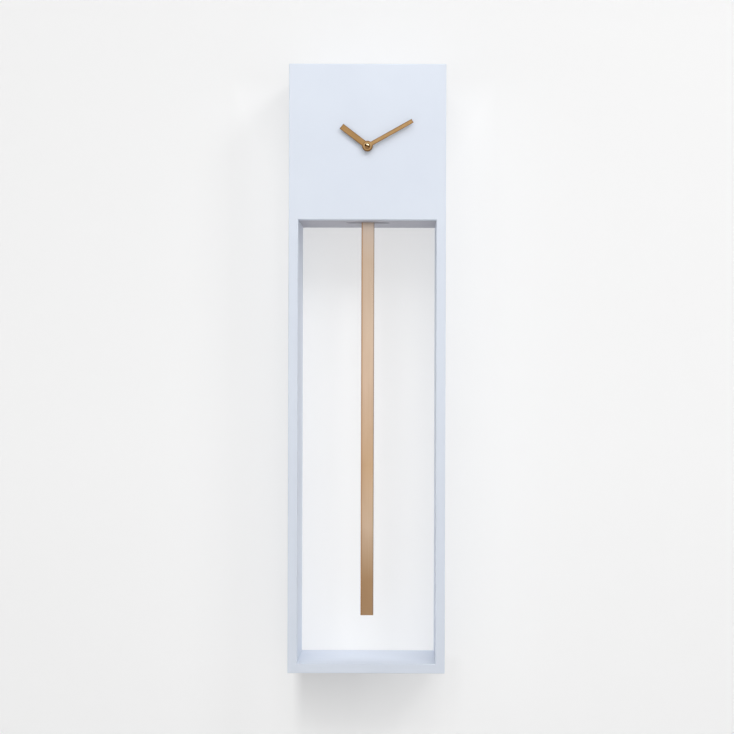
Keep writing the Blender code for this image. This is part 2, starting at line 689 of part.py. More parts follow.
def make_setting_train(minute_axis, hour_axis, motion_axis, knob_axis):
    """Minute arbor, motion wheel, hour wheel and setting knob: the gears that carry the hands."""
    place = around_shaft(SHAFT)
    minute_front = CAP_BACK - CAP_BORE_DEPTH + GAP
    minute = rod("minute_arbor", ARBOR_RADIUS, minute_front, layer(HAND_ARBOR_BACK), place, steps=ROUND_STEPS)
    join(minute, as_mesh(toothed("cannon_teeth", 12, CANNON_MODULE, 0.0, MOTION_LAYER, SHAFT)))
    keep(minute, STEEL, minute_axis)

    phase = meshing_phase(MOTION_SIDE, 0.0, 12, 36)
    front, back = layer(LOWER_ARBOR_FRONT + WELD), layer(MOTION_POST_BACK)
    sleeve = [(MOTION_SLEEVE, front), (MOTION_SLEEVE, back), (MOTION_BORE, back), (MOTION_BORE, front)]
    motion = turned("motion_wheel", sleeve, around_shaft(MOTION), steps=SMALL_STEPS)
    bore = (MOTION_BORE + MOTION_SLEEVE) / 2
    join(motion, as_mesh(toothed("motion_wheel_teeth", 36, CANNON_MODULE, phase, MOTION_LAYER, MOTION, bore)))
    pinion = (HOUR_LAYER[0], MOTION_LAYER[0] + WELD)
    join(motion, as_mesh(toothed("motion_pinion_teeth", 10, HOUR_MODULE, 0.0, pinion, MOTION, bore)))
    keep(motion, WHITE, motion_axis)

    front, back = HOUR_HAND_FRONT - GAP, layer(HOUR_PIPE_BACK)
    pipe = [(PIPE_RADIUS, front), (PIPE_RADIUS, back), (PIPE_BORE, back), (PIPE_BORE, front)]
    hour = turned("hour_wheel", pipe, place)
    hour_phase = meshing_phase(0.0, 0.0, 10, 40)
    bore = (PIPE_BORE + PIPE_RADIUS) / 2
    join(hour, as_mesh(toothed("hour_wheel_teeth", 40, HOUR_MODULE, hour_phase, HOUR_LAYER, SHAFT, bore)))
    keep(hour, WHITE, hour_axis)

    knob = arbor("time_setting_knob", KNOB_ARBOR, LOWER_ARBOR_FRONT, KNOB_ARBOR_BACK, KNOB)
    knob_phase = meshing_phase(MOTION_SIDE, phase, 36, 12)
    join(knob, as_mesh(toothed("knob_pinion_teeth", 12, CANNON_MODULE, knob_phase, MOTION_LAYER, KNOB)))
    join(knob, as_mesh(toothed("knob_grip", 20, KNOB_MODULE, 0.0, KNOB_LAYER, KNOB)))
    keep(knob, BLACK, knob_axis)


def make_going_train(axes):
    """Rotor, intermediate, second, third and centre wheels: the gears that the motor drives."""
    second = arbor("second_wheel", WHEEL_ARBOR, *UPPER_ARBORS, SHAFT)
    pinion = (THIRD_LAYER[0], SECOND_LAYER[0] + WELD)
    join(second, as_mesh(toothed("second_wheel_teeth", 60, SECOND_MODULE, 0.0, SECOND_LAYER, SHAFT)))
    join(second, as_mesh(toothed("second_pinion_teeth", 8, THIRD_MODULE, 0.0, pinion, SHAFT)))
    keep(second, WHITE, axes["second"])

    third = arbor("third_wheel", WHEEL_ARBOR, LOWER_ARBOR_FRONT, UPPER_ARBORS[1], THIRD)
    third_phase = meshing_phase(THIRD_SIDE, 0.0, 8, 60)
    join(third, as_mesh(toothed("third_wheel_teeth", 60, THIRD_MODULE, third_phase, THIRD_LAYER, THIRD)))
    join(third, as_mesh(toothed("third_pinion_teeth", 8, CENTRE_MODULE, 0.0, CENTRE_LAYER, THIRD)))
    keep(third, WHITE, axes["third"])

    centre_phase = meshing_phase(THIRD_SIDE + math.pi, 0.0, 8, 64)
    bore = ARBOR_RADIUS + FIT
    centre = toothed("centre_wheel", 64, CENTRE_MODULE, centre_phase, CENTRE_LAYER, SHAFT, bore)
    keep(centre, BRASS, axes["centre"])

    inter = arbor("intermediate_wheel", WHEEL_ARBOR, *UPPER_ARBORS, INTERMEDIATE)
    phase = meshing_phase(INTERMEDIATE_SIDE, 0.0, 60, 12)
    pinion = (SECOND_LAYER[0], INTERMEDIATE_LAYER[0] + WELD)
    join(inter, as_mesh(toothed("intermediate_pinion_teeth", 12, SECOND_MODULE, phase, pinion, INTERMEDIATE)))
    join(inter, as_mesh(toothed("intermediate_wheel_teeth", 60, ROTOR_MODULE, 0.0, INTERMEDIATE_LAYER,
                                INTERMEDIATE)))
    keep(inter, WHITE, axes["intermediate"])

    front, back = (layer(depth) for depth in UPPER_ARBORS)
    magnet_front, magnet_back = (layer(depth) for depth in ROTOR_MAGNET_LAYER)
    profile = [(0, front - PIVOT_LENGTH), (PIVOT_RADIUS, front - PIVOT_LENGTH), (PIVOT_RADIUS, magnet_front),
               (ROTOR_MAGNET, magnet_front), (ROTOR_MAGNET, magnet_back), (WHEEL_ARBOR, magnet_back),
               (WHEEL_ARBOR, back), (PIVOT_RADIUS, back), (PIVOT_RADIUS, back + PIVOT_LENGTH),
               (0, back + PIVOT_LENGTH)]
    rotor = turned("rotor", profile, around_shaft(ROTOR))
    phase = meshing_phase(ROTOR_SIDE, 0.0, 60, 10)
    join(rotor, as_mesh(toothed("rotor_pinion_teeth", 10, ROTOR_MODULE, phase, INTERMEDIATE_LAYER, ROTOR)))
    keep(rotor, GREY, axes["rotor"])


def make_motor_and_circuit():
    left = ROTOR[0] - STATOR_HALF
    block = ROTOR[0] + STATOR_HALF
    leg = STATOR_RIGHT - STATOR_LEG
    step = STATOR_LOW + STATOR_LEG
    outline = [(left, STATOR_LOW), (STATOR_RIGHT, STATOR_LOW), (STATOR_RIGHT, STATOR_HIGH),
               (leg, STATOR_HIGH), (leg, step), (block, step), (block, STATOR_HIGH), (left, STATOR_HIGH)]
    loops = [outline, circle(ROTOR, ROTOR_OPENING)]
    front, back = (layer(depth) for depth in STATOR_LAYER)
    keep(flat("motor_stator", loops, front, back, around_shaft(SHAFT)), STEEL)

    start, end = leg - GAP, block + GAP
    profile = [(0, start), (COIL_FLANGE, start), (COIL_FLANGE, start - COIL_RIM),
               (COIL_WINDING, start - COIL_RIM), (COIL_WINDING, end + COIL_RIM),
               (COIL_FLANGE, end + COIL_RIM), (COIL_FLANGE, end), (0, end)]
    centre = ((front + back) / 2, SHAFT_Z + COIL_V)
    keep(turned("motor_coil", profile, centre, "X", SMALL_STEPS), COPPER)

    front, back = (layer(depth) for depth in CIRCUIT_LAYER)
    keep(flat("circuit_board", [rectangle(*BOARD_CORNERS)], front, back, around_shaft(SHAFT)), GREEN)
    (left, low), (right, high) = (around_shaft(corner) for corner in CHIP_CORNERS)
    front, back = (layer(depth) for depth in CHIP_LAYER)
    keep(box("control_chip", (left, front, low), (right, back, high), CHIP_ROUND), BLACK)
    centre = (layer(CRYSTAL_DEPTH), SHAFT_Z + CRYSTAL_V)
    keep(rod("quartz_crystal", CRYSTAL_RADIUS, *CRYSTAL_ENDS, centre, "X"), STEEL)


def make_battery():
    """The cell lies across the movement, its button end to the right, between a spring and a contact."""
    y = MOVEMENT_BACK - GAP - BATTERY_RADIUS
    z = SHAFT_Z - MOVEMENT_SIDE / 2 + SHELL_WALL + BAY_HEIGHT / 2
    left, right = BATTERY_LEFT, BATTERY_LEFT + BATTERY_LENGTH
    button_end = right + BUTTON_LENGTH
    profile = [(0, button_end), (BUTTON_RADIUS, button_end), (BUTTON_RADIUS, right),
               (BATTERY_RADIUS - BATTERY_EDGE, right), (BATTERY_RADIUS, right - BATTERY_EDGE),
               (BATTERY_RADIUS, left + BATTERY_EDGE), (BATTERY_RADIUS - BATTERY_EDGE, left), (0, left)]
    keep(turned("battery", profile, (y, z), "X"), BATTERY_SKIN)

    low = (CONTACT_LEFT, y - CONTACT_HALF_DEPTH, z - CONTACT_HALF_HEIGHT)
    high = (CONTACT_LEFT + CONTACT_THICKNESS, y + CONTACT_HALF_DEPTH, z + CONTACT_HALF_HEIGHT)
    keep(box("battery_contact", low, high), STEEL)

    wire = bpy.data.curves.new("battery_spring", "CURVE")
    wire.dimensions = "3D"
    wire.bevel_depth = SPRING_WIRE
    wire.bevel_resolution = 1
    wire.use_fill_caps = True
    spline = wire.splines.new("POLY")
    count = SPRING_TURNS * SPRING_STEPS
    spline.points.add(count)
    for i, point in enumerate(spline.points):
        share = i / count
        angle = share * SPRING_TURNS * 2 * math.pi
        radius = SPRING_WIDE + (SPRING_NARROW - SPRING_WIDE) * share
        x = SPRING_LEFT + SPRING_RISE * share
        point.co = (x, y + radius * math.cos(angle), z + radius * math.sin(angle), 1.0)
    keep(bpy.data.objects.new("battery_spring", wire), STEEL)


# Hands


def make_hands(minute_axis, hour_axis):
    place = around_shaft(SHAFT)
    hands = (
        ("minute_hand", MINUTE_HUB, MINUTE_WIDTH, MINUTE_LENGTH, MINUTE_HAND_FRONT, MINUTE_ANGLE,
         ARBOR_RADIUS, minute_axis),
        ("hour_hand", HOUR_HUB, HOUR_WIDTH, HOUR_LENGTH, HOUR_HAND_FRONT, HOUR_ANGLE, PIPE_RADIUS, hour_axis),
    )
    for name, hub, width, length, front, turn, shaft, axis in hands:
        loops = [hand_outline(hub, width, length), circle(SHAFT, shaft + FIT)]
        keep(flat(name, loops, front, front + HAND_THICKNESS, place, turn), GOLD, axis)

    dome_back = CAP_FRONT + CAP_DOME
    bore = ARBOR_RADIUS + FIT
    bore_end = CAP_BACK - CAP_BORE_DEPTH
    dome = []
    for i in range(DOME_STEPS + 1):
        angle = i / DOME_STEPS * math.pi / 2
        dome.append((CAP_RADIUS * math.sin(angle), dome_back - CAP_DOME * math.cos(angle)))
    profile = dome + [(CAP_RADIUS, CAP_BACK), (bore, CAP_BACK), (bore, bore_end), (0, bore_end)]
    keep(turned("cap_nut", profile, place), GOLD, minute_axis)


# Pendulum and its drive


def make_drive():
    low = (-HOUSING_HALF, MOVEMENT_FRONT, HOUSING_BOTTOM)
    housing = box("drive_housing", low, (HOUSING_HALF, MOVEMENT_BACK, HOUSING_TOP), CASE_ROUND)
    inner = HOUSING_HALF - SHELL_WALL
    back_wall = MOVEMENT_BACK - SHELL_WALL
    cut(housing, box("housing_hollow", (-inner, MOVEMENT_FRONT - CASE_ROUND, HOUSING_BOTTOM + SHELL_WALL),
                     (inner, back_wall, HOUSING_TOP - SHELL_WALL)))
    cut(housing, rod("pivot_hole", PIN_HOLE, back_wall - WELD, MOVEMENT_BACK + WELD, (0.0, PIVOT_Z)))
    keep(housing, BLACK)

    low = (-inner + GAP, MOVEMENT_FRONT, HOUSING_BOTTOM + SHELL_WALL + GAP)
    high = (inner - GAP, MOVEMENT_FRONT + LID_THICKNESS, HOUSING_TOP - SHELL_WALL - GAP)
    keep(box("drive_housing_lid", low, high), BLACK)

    back = back_wall - GAP
    front = back - DRIVE_COIL_DEPTH
    outer, winding, core = DRIVE_COIL_OUTER, DRIVE_COIL_WINDING, DRIVE_COIL_CORE
    profile = [(outer, front), (outer, front + COIL_RIM), (winding, front + COIL_RIM),
               (winding, back - COIL_RIM), (outer, back - COIL_RIM), (outer, back), (core, back),
               (core, front)]
    keep(turned("drive_coil", profile, (0.0, MAGNET_Z)), COPPER)

    profile = [(0, back - PIN_HEAD_HEIGHT), (PIN_HEAD, back - PIN_HEAD_HEIGHT), (PIN_HEAD, back),
               (PIN_RADIUS, back), (PIN_RADIUS, PIN_BACK), (0, PIN_BACK)]
    keep(turned("pivot_pin", profile, (0.0, PIVOT_Z)), STEEL)
    loops = [circle((0, 0), CLIP_RADIUS), circle((0, 0), PIN_RADIUS + FIT)]
    keep(flat("pivot_clip", loops, CLIP_FRONT, CLIP_BACK, (0.0, PIVOT_Z)), STEEL)


def make_swing_arm(axis):
    """The arm on the pivot pin: a hub, a cup that holds the magnet, and a stud for the pendulum."""
    outline = upright_strip(0.0, STUD_Z, PIVOT_Z, ARM_HALF)
    arm = as_mesh(flat("swing_arm", [outline, circle((0, PIVOT_Z), ARM_OPENING)], ARM_FRONT, ARM_BACK))
    hub_front = MOVEMENT_BACK + GAP + WELD
    ring = [(HUB_RADIUS, hub_front), (HUB_RADIUS, HUB_BACK), (HUB_BORE, HUB_BACK), (HUB_BORE, hub_front)]
    join(arm, turned("arm_hub", ring, (0.0, PIVOT_Z)))
    cup_front = hub_front + WELD
    join(arm, rod("magnet_cup", MAGNET_CUP, cup_front, ARM_BACK + GAP, (0.0, MAGNET_Z), steps=ROUND_STEPS))
    stud = [(0, ARM_FRONT + GAP), (STUD_RADIUS, ARM_FRONT + GAP), (STUD_RADIUS, STUD_NECK_BACK),
            (STUD_HEAD, STUD_NECK_BACK), (STUD_HEAD, STUD_BACK), (0, STUD_BACK)]
    join(arm, turned("hook_stud", stud, (0.0, STUD_Z), steps=SMALL_STEPS))
    magnet_front = cup_front + FIT
    magnet_back = magnet_front + MAGNET_THICKNESS
    cut(arm, rod("magnet_pocket", MAGNET_RADIUS + GAP, cup_front - WELD, magnet_back + GAP, (0.0, MAGNET_Z),
                 steps=ROUND_STEPS))
    keep(arm, GREY, axis)
    magnet = rod("drive_magnet", MAGNET_RADIUS, magnet_front, magnet_back, (0.0, MAGNET_Z), steps=ROUND_STEPS)
    keep(magnet, STEEL, axis)


def make_pendulum(axis):
    strap_bottom = RIVET_HEIGHTS["lower"] - STRAP_END
    rivet_holes = [circle((0, z), RIVET_HOLE, SMALL_STEPS) for z in RIVET_HEIGHTS.values()]
    strap = [upright_strip(0.0, strap_bottom, STUD_Z + STRAP_RISE, STRAP_HALF),
             keyhole(0.0, STUD_Z, *STRAP_KEYHOLE)]
    keep(flat("pendulum_hanger", strap + rivet_holes, STRAP_FRONT, STRAP_BACK), STEEL, axis)

    bar = rectangle((-BAR_WIDTH / 2, BAR_BOTTOM), (BAR_WIDTH / 2, BAR_TOP))
    keep(flat("pendulum_bar", [bar] + rivet_holes, BAR_FRONT, BAR_FRONT + BAR_THICKNESS), BAR_GOLD, axis)

    front = STRAP_FRONT - GAP
    back = BAR_FRONT + BAR_THICKNESS + GAP
    height = RIVET_HEAD_HEIGHT
    profile = [(0, front - height), (RIVET_HEAD, front - height), (RIVET_HEAD, front), (RIVET_SHANK, front),
               (RIVET_SHANK, back), (RIVET_HEAD, back), (RIVET_HEAD, back + height), (0, back + height)]
    for name, z in RIVET_HEIGHTS.items():
        keep(turned(f"hanger_rivet_{name}", profile, (0.0, z), steps=SMALL_STEPS), STEEL, axis)


def make_clock():
    make_side_boards()
    make_end_boards()
    make_head_front_panel()
    make_head_floor_board()
    make_hanging_rail()
    make_keyhole_plates()
    make_glue_blocks()
    make_wall_bumpers()

    make_movement_case()
    make_movement_back_cover()
    make_middle_plate()
    make_front_fixings()
    make_motor_and_circuit()
    make_battery()

    places = {"minute": SHAFT, "hour": SHAFT, "motion": MOTION, "knob": KNOB, "second": SHAFT, "third": THIRD,
              "centre": SHAFT, "intermediate": INTERMEDIATE, "rotor": ROTOR}
    axes = {name: axis_empty(f"{name}_axis", u, GEAR_FLOOR, SHAFT_Z + v) for name, (u, v) in places.items()}
    make_setting_train(axes["minute"], axes["hour"], axes["motion"], axes["knob"])
    make_going_train(axes)
    make_hands(axes["minute"], axes["hour"])

    swing_axis = axis_empty("swing_axis", 0.0, SWING_Y, PIVOT_Z)
    make_drive()
    make_swing_arm(swing_axis)
    make_pendulum(swing_axis)


clear_scene()
PARTS = new_collection("pendulum_wall_clock")
CUTTERS = new_collection("cutters")
make_clock()
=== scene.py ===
"""The looks of the pendulum wall clock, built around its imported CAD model.

Metres, +Z up. The clock faces -Y, and its hanging rail lies on the wall at y = 0. Every piece below takes its
place from the CAD nodes' boxes and from the joints' axes.
"""

import json
from math import acos, atan2, cos, pi, radians, sin, sqrt, tau

import bmesh
import bpy
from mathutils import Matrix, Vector


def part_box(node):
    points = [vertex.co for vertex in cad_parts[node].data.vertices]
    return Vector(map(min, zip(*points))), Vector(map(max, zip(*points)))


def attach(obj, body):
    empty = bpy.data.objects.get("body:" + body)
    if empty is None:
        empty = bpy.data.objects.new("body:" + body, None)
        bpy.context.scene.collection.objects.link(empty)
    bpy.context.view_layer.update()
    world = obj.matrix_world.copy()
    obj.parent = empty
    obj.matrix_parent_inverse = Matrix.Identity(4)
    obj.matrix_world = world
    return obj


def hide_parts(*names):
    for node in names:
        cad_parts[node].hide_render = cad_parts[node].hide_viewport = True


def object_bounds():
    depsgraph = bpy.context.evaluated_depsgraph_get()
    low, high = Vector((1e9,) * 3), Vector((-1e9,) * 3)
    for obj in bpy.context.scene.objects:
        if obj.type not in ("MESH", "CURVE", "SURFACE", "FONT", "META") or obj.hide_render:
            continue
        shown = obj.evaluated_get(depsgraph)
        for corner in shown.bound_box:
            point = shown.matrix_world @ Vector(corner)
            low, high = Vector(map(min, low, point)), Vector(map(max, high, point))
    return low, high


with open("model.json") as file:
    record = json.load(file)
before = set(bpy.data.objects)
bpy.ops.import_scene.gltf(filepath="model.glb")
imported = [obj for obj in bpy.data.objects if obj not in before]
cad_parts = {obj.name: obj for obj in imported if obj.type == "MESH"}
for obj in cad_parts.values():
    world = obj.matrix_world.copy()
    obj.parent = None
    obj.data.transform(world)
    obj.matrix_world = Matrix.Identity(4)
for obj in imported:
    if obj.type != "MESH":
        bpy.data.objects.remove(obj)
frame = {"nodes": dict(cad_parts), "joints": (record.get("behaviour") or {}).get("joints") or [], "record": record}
CAD_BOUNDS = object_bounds()

MM = 0.001
SEAM = 0.02 * MM  # half of what is left open between two painted boards
CASE_ROUNDING = 0.8 * MM
WINDOW_ROUNDING = 0.45 * MM
CUTTER_ROUNDING = 0.02 * MM
CUT_SPARE = 0.1 * MM  # how far a cutter reaches past the face that it opens
SMOOTH_ANGLE = radians(35)
SQUARE_ANGLE = radians(60)
JOINTS = {joint["name"]: Vector(joint["pos_m"]) for joint in frame["joints"]}
BODY_OF = {node: body for body, nodes in frame["record"]["behaviour"]["bodies"].items() for node in nodes}
SLOT_OF = {part["node"]: part["material_slot"] for part in frame["record"]["subparts"]}
BOXES = {node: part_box(node) for node in frame["nodes"]}


def centre_of(node):
    low, high = BOXES[node]
    return (low + high) / 2


def spot(node):
    """Where the middle of a node is, seen from the front."""
    middle = centre_of(node)
    return middle.x, middle.z


# The case, read off the CAD boards
_, FRONT, BOTTOM = BOXES["left_side_board"][0]
TOP = BOXES["right_side_board"][1].z
INNER_LEFT = BOXES["left_side_board"][1].x
INNER_RIGHT = BOXES["right_side_board"][0].x
HEAD_BOTTOM = BOXES["head_front_panel"][0].z
HEAD_TOP = BOXES["top_board"][0].z
WINDOW_BOTTOM = BOXES["bottom_board"][1].z
PANEL_BACK = BOXES["head_front_panel"][1].y
SHAFT = JOINTS["minute_hand_turn"]
PIVOT = JOINTS["pendulum_swing"]
AT_SHAFT = (SHAFT.x, SHAFT.z)
AT_PIVOT = (0.0, PIVOT.z)
CAP_RADIUS = (BOXES["cap_nut"][1].x - BOXES["cap_nut"][0].x) / 2
STUD_Z = BOXES["pendulum_hanger"][1].z - 5 * MM
RIVET_HOLE = 1.3 * MM


# Small tools for shader nodes


def srgb(red, green, blue):
    """A linear colour from the usual 0 to 255 values."""
    def linear(value):
        value /= 255
        return value / 12.92 if value <= 0.04045 else ((value + 0.055) / 1.055) ** 2.4
    return (linear(red), linear(green), linear(blue), 1.0)


class Paint:
    """A material being put together: one Principled BSDF and what feeds it."""

    def __init__(self, name, **values):
        self.material = bpy.data.materials.new(name)
        self.material.use_nodes = True
        self.tree = self.material.node_tree
        self.shader = self.tree.nodes["Principled BSDF"]
        self.place = self.add("ShaderNodeTexCoord").outputs["Object"]
        self.coat(**values)

    def add(self, kind, inputs=None, **settings):
        """A node with its settings made and its inputs fed."""
        node = self.tree.nodes.new(kind)
        for name, value in settings.items():
            setattr(node, name, value)
        for socket, value in (inputs or {}).items():
            self.feed(node.inputs[socket], value)
        return node

    def feed(self, socket, value):
        if isinstance(value, bpy.types.NodeSocket):
            self.tree.links.new(value, socket)
        else:
            socket.default_value = value

    def coat(self, **values):
        """Feeds the shader's own sockets by name."""
        for socket, value in values.items():
            self.feed(self.shader.inputs[socket.replace("_", " ")], value)

    def stretched(self, x, y, z):
        """The object's own coordinates, multiplied along each axis."""
        return self.add("ShaderNodeMapping", {"Vector": self.place, "Scale": (x, y, z)}).outputs["Vector"]

    def noise(self, scale, detail=3.0, roughness=0.5, vector=None):
        inputs = {"Vector": vector or self.place, "Scale": scale, "Detail": detail, "Roughness": roughness}
        return self.add("ShaderNodeTexNoise", inputs).outputs["Fac"]

    def axis(self, name):
        return self.add("ShaderNodeSeparateXYZ", {0: self.place}).outputs[name]

    def spread(self, value, from_low, from_high, to_low=0.0, to_high=1.0):
        """Maps one range on to another and holds the ends."""
        inputs = dict(enumerate((value, from_low, from_high, to_low, to_high)))
        return self.add("ShaderNodeMapRange", inputs).outputs["Result"]

    def vary(self, noise, low=0.0, high=1.0):
        """A noise's usual values spread over a range."""
        return self.spread(noise, 0.3, 0.7, low, high)

    def maths(self, operation, a, b=0.0):
        return self.add("ShaderNodeMath", {0: a, 1: b}, operation=operation).outputs[0]

    def blend(self, share, a, b):
        """From colour a, at share 0, to colour b."""
        return self.add("ShaderNodeMix", {"Factor": share, 6: a, 7: b}, data_type="RGBA").outputs[2]

    def ramp(self, share, stops):
        """A colour that runs through (place, colour) stops."""
        node = self.add("ShaderNodeValToRGB", {"Fac": share})
        elements = node.color_ramp.elements
        elements.remove(elements[-1])
        elements[0].position, elements[0].color = stops[0]
        for place, colour in stops[1:]:
            elements.new(place).color = colour
        return node.outputs["Color"]

    def bump(self, height, strength, distance, under=None):
        node = self.add("ShaderNodeBump", {"Height": height, "Strength": strength, "Distance": distance})
        if under is not None:
            self.feed(node.inputs["Normal"], under)
        return node.outputs["Normal"]

    def finish(self, colour, roughness=None, normal=None):
        given = {"Base_Color": colour, "Roughness": roughness, "Normal": normal}
        self.coat(**{socket: value for socket, value in given.items() if value is not None})
        return self.material


# Materials


def painted_board(name, low, high):
    """Pale satin lacquer with a fine orange peel."""
    paint = Paint(name, Roughness=0.5, Specular_IOR_Level=0.35)
    clouds = paint.noise(9.0)
    colour = paint.blend(paint.vary(clouds), low, high)
    specks = paint.spread(paint.noise(1600.0, 1.0), 0.62, 0.75)
    colour = paint.blend(paint.maths("MULTIPLY", specks, 0.06), colour, srgb(196, 203, 216))
    peel = paint.bump(paint.noise(850.0, 2.0, 0.45), 0.10, 0.15 * MM)
    normal = paint.bump(paint.noise(55.0, 2.0), 0.05, 0.6 * MM, peel)
    roughness = paint.vary(paint.noise(130.0, 4.0), 0.46, 0.56)
    return paint.finish(colour, roughness, normal)


def planed_pine(name, grain_axis):
    """Planed pine with its grain along one axis."""
    def stretch(along, across):
        return [along if axis == grain_axis else across for axis in "XYZ"]

    paint = Paint(name, Roughness=0.62, Specular_IOR_Level=0.3)
    fibres = paint.noise(14.0, 6.0, 0.6, paint.stretched(*stretch(0.5, 9.0)))
    inputs = {"Vector": paint.stretched(*stretch(0.6, 6.0)), "Scale": 9.0, "Distortion": 6.0, "Detail": 3.0}
    rings = paint.add("ShaderNodeTexWave", inputs, wave_type="BANDS", bands_direction="Y")
    pores = paint.noise(420.0, 3.0, 0.6, paint.stretched(*stretch(0.06, 1.0)))
    colour = paint.blend(rings.outputs["Fac"], srgb(222, 190, 140), srgb(196, 152, 98))
    colour = paint.blend(paint.vary(fibres, 0.0, 0.5), colour, srgb(214, 176, 122))
    colour = paint.blend(paint.spread(pores, 0.55, 0.75, 0.0, 0.35), colour, srgb(150, 108, 66))
    return paint.finish(colour, None, paint.bump(pores, 0.3, 0.15 * MM))


TARNISH = srgb(158, 112, 66)


def brushed(paint, colour, line_scale, smudge_scale):
    """Fine lines and broad smudges over a metal's colour."""
    lines = paint.noise(1.0, 4.0, 0.6, paint.stretched(*line_scale))
    smudges = paint.noise(1.0, 3.0, 0.55, paint.stretched(*smudge_scale))
    deep = paint.blend(0.5, colour, TARNISH)
    shade = paint.blend(paint.vary(lines, 0.0, 0.30), colour, deep)
    shade = paint.blend(paint.spread(smudges, 0.35, 0.7, 0.0, 0.25), shade, deep)
    rough = paint.maths("ADD", paint.vary(lines, -0.05, 0.05), paint.vary(smudges, 0.29, 0.39))
    return paint.finish(shade, rough, paint.bump(lines, 0.12, 0.05 * MM))


def hand_gold(name, hub, width, length, light, deep):
    """Brushed along the hand, in the hand's own coordinates, with a dark line of painted shade beside its stamped
    edge.
    """
    half = width / 2
    line, full = 1.1 * MM, 0.4 * MM  # how far in from the edge the painted edge shade starts, and where it is darkest
    paint = Paint(name, Metallic=1.0, Anisotropic=0.4)
    along = paint.axis("Y")
    across = paint.maths("ABSOLUTE", paint.axis("X"))
    radius = paint.add("ShaderNodeVectorMath", {0: paint.place}, operation="LENGTH").outputs["Value"]
    painted_stem_edge_shade = paint.maths("MAXIMUM", paint.spread(across, half - line, half - full),
                            paint.spread(along, length - line, length - full))
    off_stem = paint.maths("MAXIMUM", paint.spread(across, half - full, half),
                           paint.spread(along, line, -line))
    painted_hub_edge_shade = paint.maths("MULTIPLY", paint.spread(radius, hub - line, hub - full), off_stem)
    # painted shade along the stem's and the hub's edges
    edge = paint.spread(radius, hub, hub + line / 4, painted_hub_edge_shade, painted_stem_edge_shade)
    colour = paint.blend(paint.noise(160.0, 2.0), light, deep)
    # the painted edge shade darkens the colour towards a deep brown
    colour = paint.blend(paint.maths("MULTIPLY", edge, 0.88), colour, srgb(112, 77, 44))
    return brushed(paint, colour, (2600.0, 60.0, 2600.0), (90.0, 25.0, 90.0))


def bar_gold():
    """Pale champagne and gold in soft bands up the bar, brownish at its foot and darker at its edges: painted
    reflections of the room along the flat bar, and painted dark reflections at its edges.
    """
    paint = Paint("brushed_gold_bar_with_painted_reflections", Metallic=1.0, Anisotropic=0.5)
    low, high = BOXES["pendulum_bar"]
    height = paint.spread(paint.axis("Z"), low.z, high.z)
    # painted reflections: lighter and darker bands up the bar, brownish at its foot where it mirrors the floor
    colour = paint.ramp(height, (
        (0.08, srgb(190, 155, 119)), (0.20, srgb(220, 194, 168)), (0.34, srgb(204, 172, 139)),
        (0.52, srgb(224, 198, 174)), (0.68, srgb(215, 192, 170)), (0.80, srgb(206, 184, 163)),
        (0.88, srgb(215, 199, 185)),
    ))
    # painted dark reflections along the bar's left and right edges
    painted_left_edge_reflection = paint.spread(paint.axis("X"), low.x + 2.3 * MM, low.x + 1.1 * MM, 0.0, 0.75)
    painted_right_edge_reflection = paint.spread(paint.axis("X"), high.x - 1.4 * MM, high.x - 0.5 * MM, 0.0, 0.8)
    colour = paint.blend(painted_left_edge_reflection, colour, srgb(180, 134, 92))
    colour = paint.blend(painted_right_edge_reflection, colour, srgb(138, 120, 108))
    return brushed(paint, colour, (1900.0, 1900.0, 9.0), (45.0, 45.0, 9.0))


def polished_gold_with_painted_reflections(radius):
    """Polished gold with light and dark bands painted into its colour: a painted highlight and painted dark
    reflections, as a small lathe-turned dome mirrors its room.
    """
    paint = Paint("polished_gold_with_painted_reflections", Roughness=0.12, Metallic=1.0)
    # painted reflections: bright and dark bands run up the dome and lean a little to the right
    height = paint.spread(paint.axis("Y"), radius, -radius)
    across = paint.spread(paint.axis("X"), -radius, radius, -0.2, 0.2)
    painted_reflection_bands = paint.ramp(paint.maths("ADD", height, across), (
        (0.10, srgb(176, 136, 94)), (0.28, srgb(150, 108, 62)), (0.38, srgb(92, 56, 20)),
        (0.50, srgb(104, 66, 28)), (0.62, srgb(228, 208, 170)), (0.80, srgb(228, 208, 170)),
        (0.94, srgb(190, 150, 104)),
    ))
    return paint.finish(painted_reflection_bands, paint.vary(paint.noise(260.0), 0.08, 0.16))


def turned_brass():
    paint = Paint("turned_brass", Roughness=0.3, Metallic=1.0)
    marks = paint.noise(1.0, 3.0, 0.5, paint.stretched(500.0, 4000.0, 500.0))
    colour = paint.blend(paint.vary(marks), srgb(222, 188, 120), srgb(196, 158, 92))
    rough = paint.vary(marks, 0.24, 0.38)
    return paint.finish(colour, rough, paint.bump(marks, 0.15, 0.04 * MM))


def zinc_steel():
    paint = Paint("zinc_plated_steel", Roughness=0.34, Metallic=1.0)
    bloom = paint.noise(160.0, 4.0, 0.6)
    grain = paint.noise(2600.0, 2.0)
    colour = paint.blend(paint.spread(bloom, 0.35, 0.65), srgb(196, 199, 204), srgb(174, 176, 176))
    rough = paint.vary(bloom, 0.28, 0.42)
    return paint.finish(colour, rough, paint.bump(grain, 0.12, 0.03 * MM))


def moulded_plastic(name, low, high, roughness=0.48):
    """Injection moulded plastic with a spark-eroded texture."""
    paint = Paint(name, Roughness=roughness, Specular_IOR_Level=0.45)
    texture = paint.noise(2400.0, 2.0, 0.6)
    handling = paint.noise(70.0, 4.0)
    colour = paint.blend(paint.vary(handling), low, high)
    rough = paint.vary(handling, roughness - 0.06, roughness + 0.08)
    return paint.finish(colour, rough, paint.bump(texture, 0.3, 0.06 * MM))


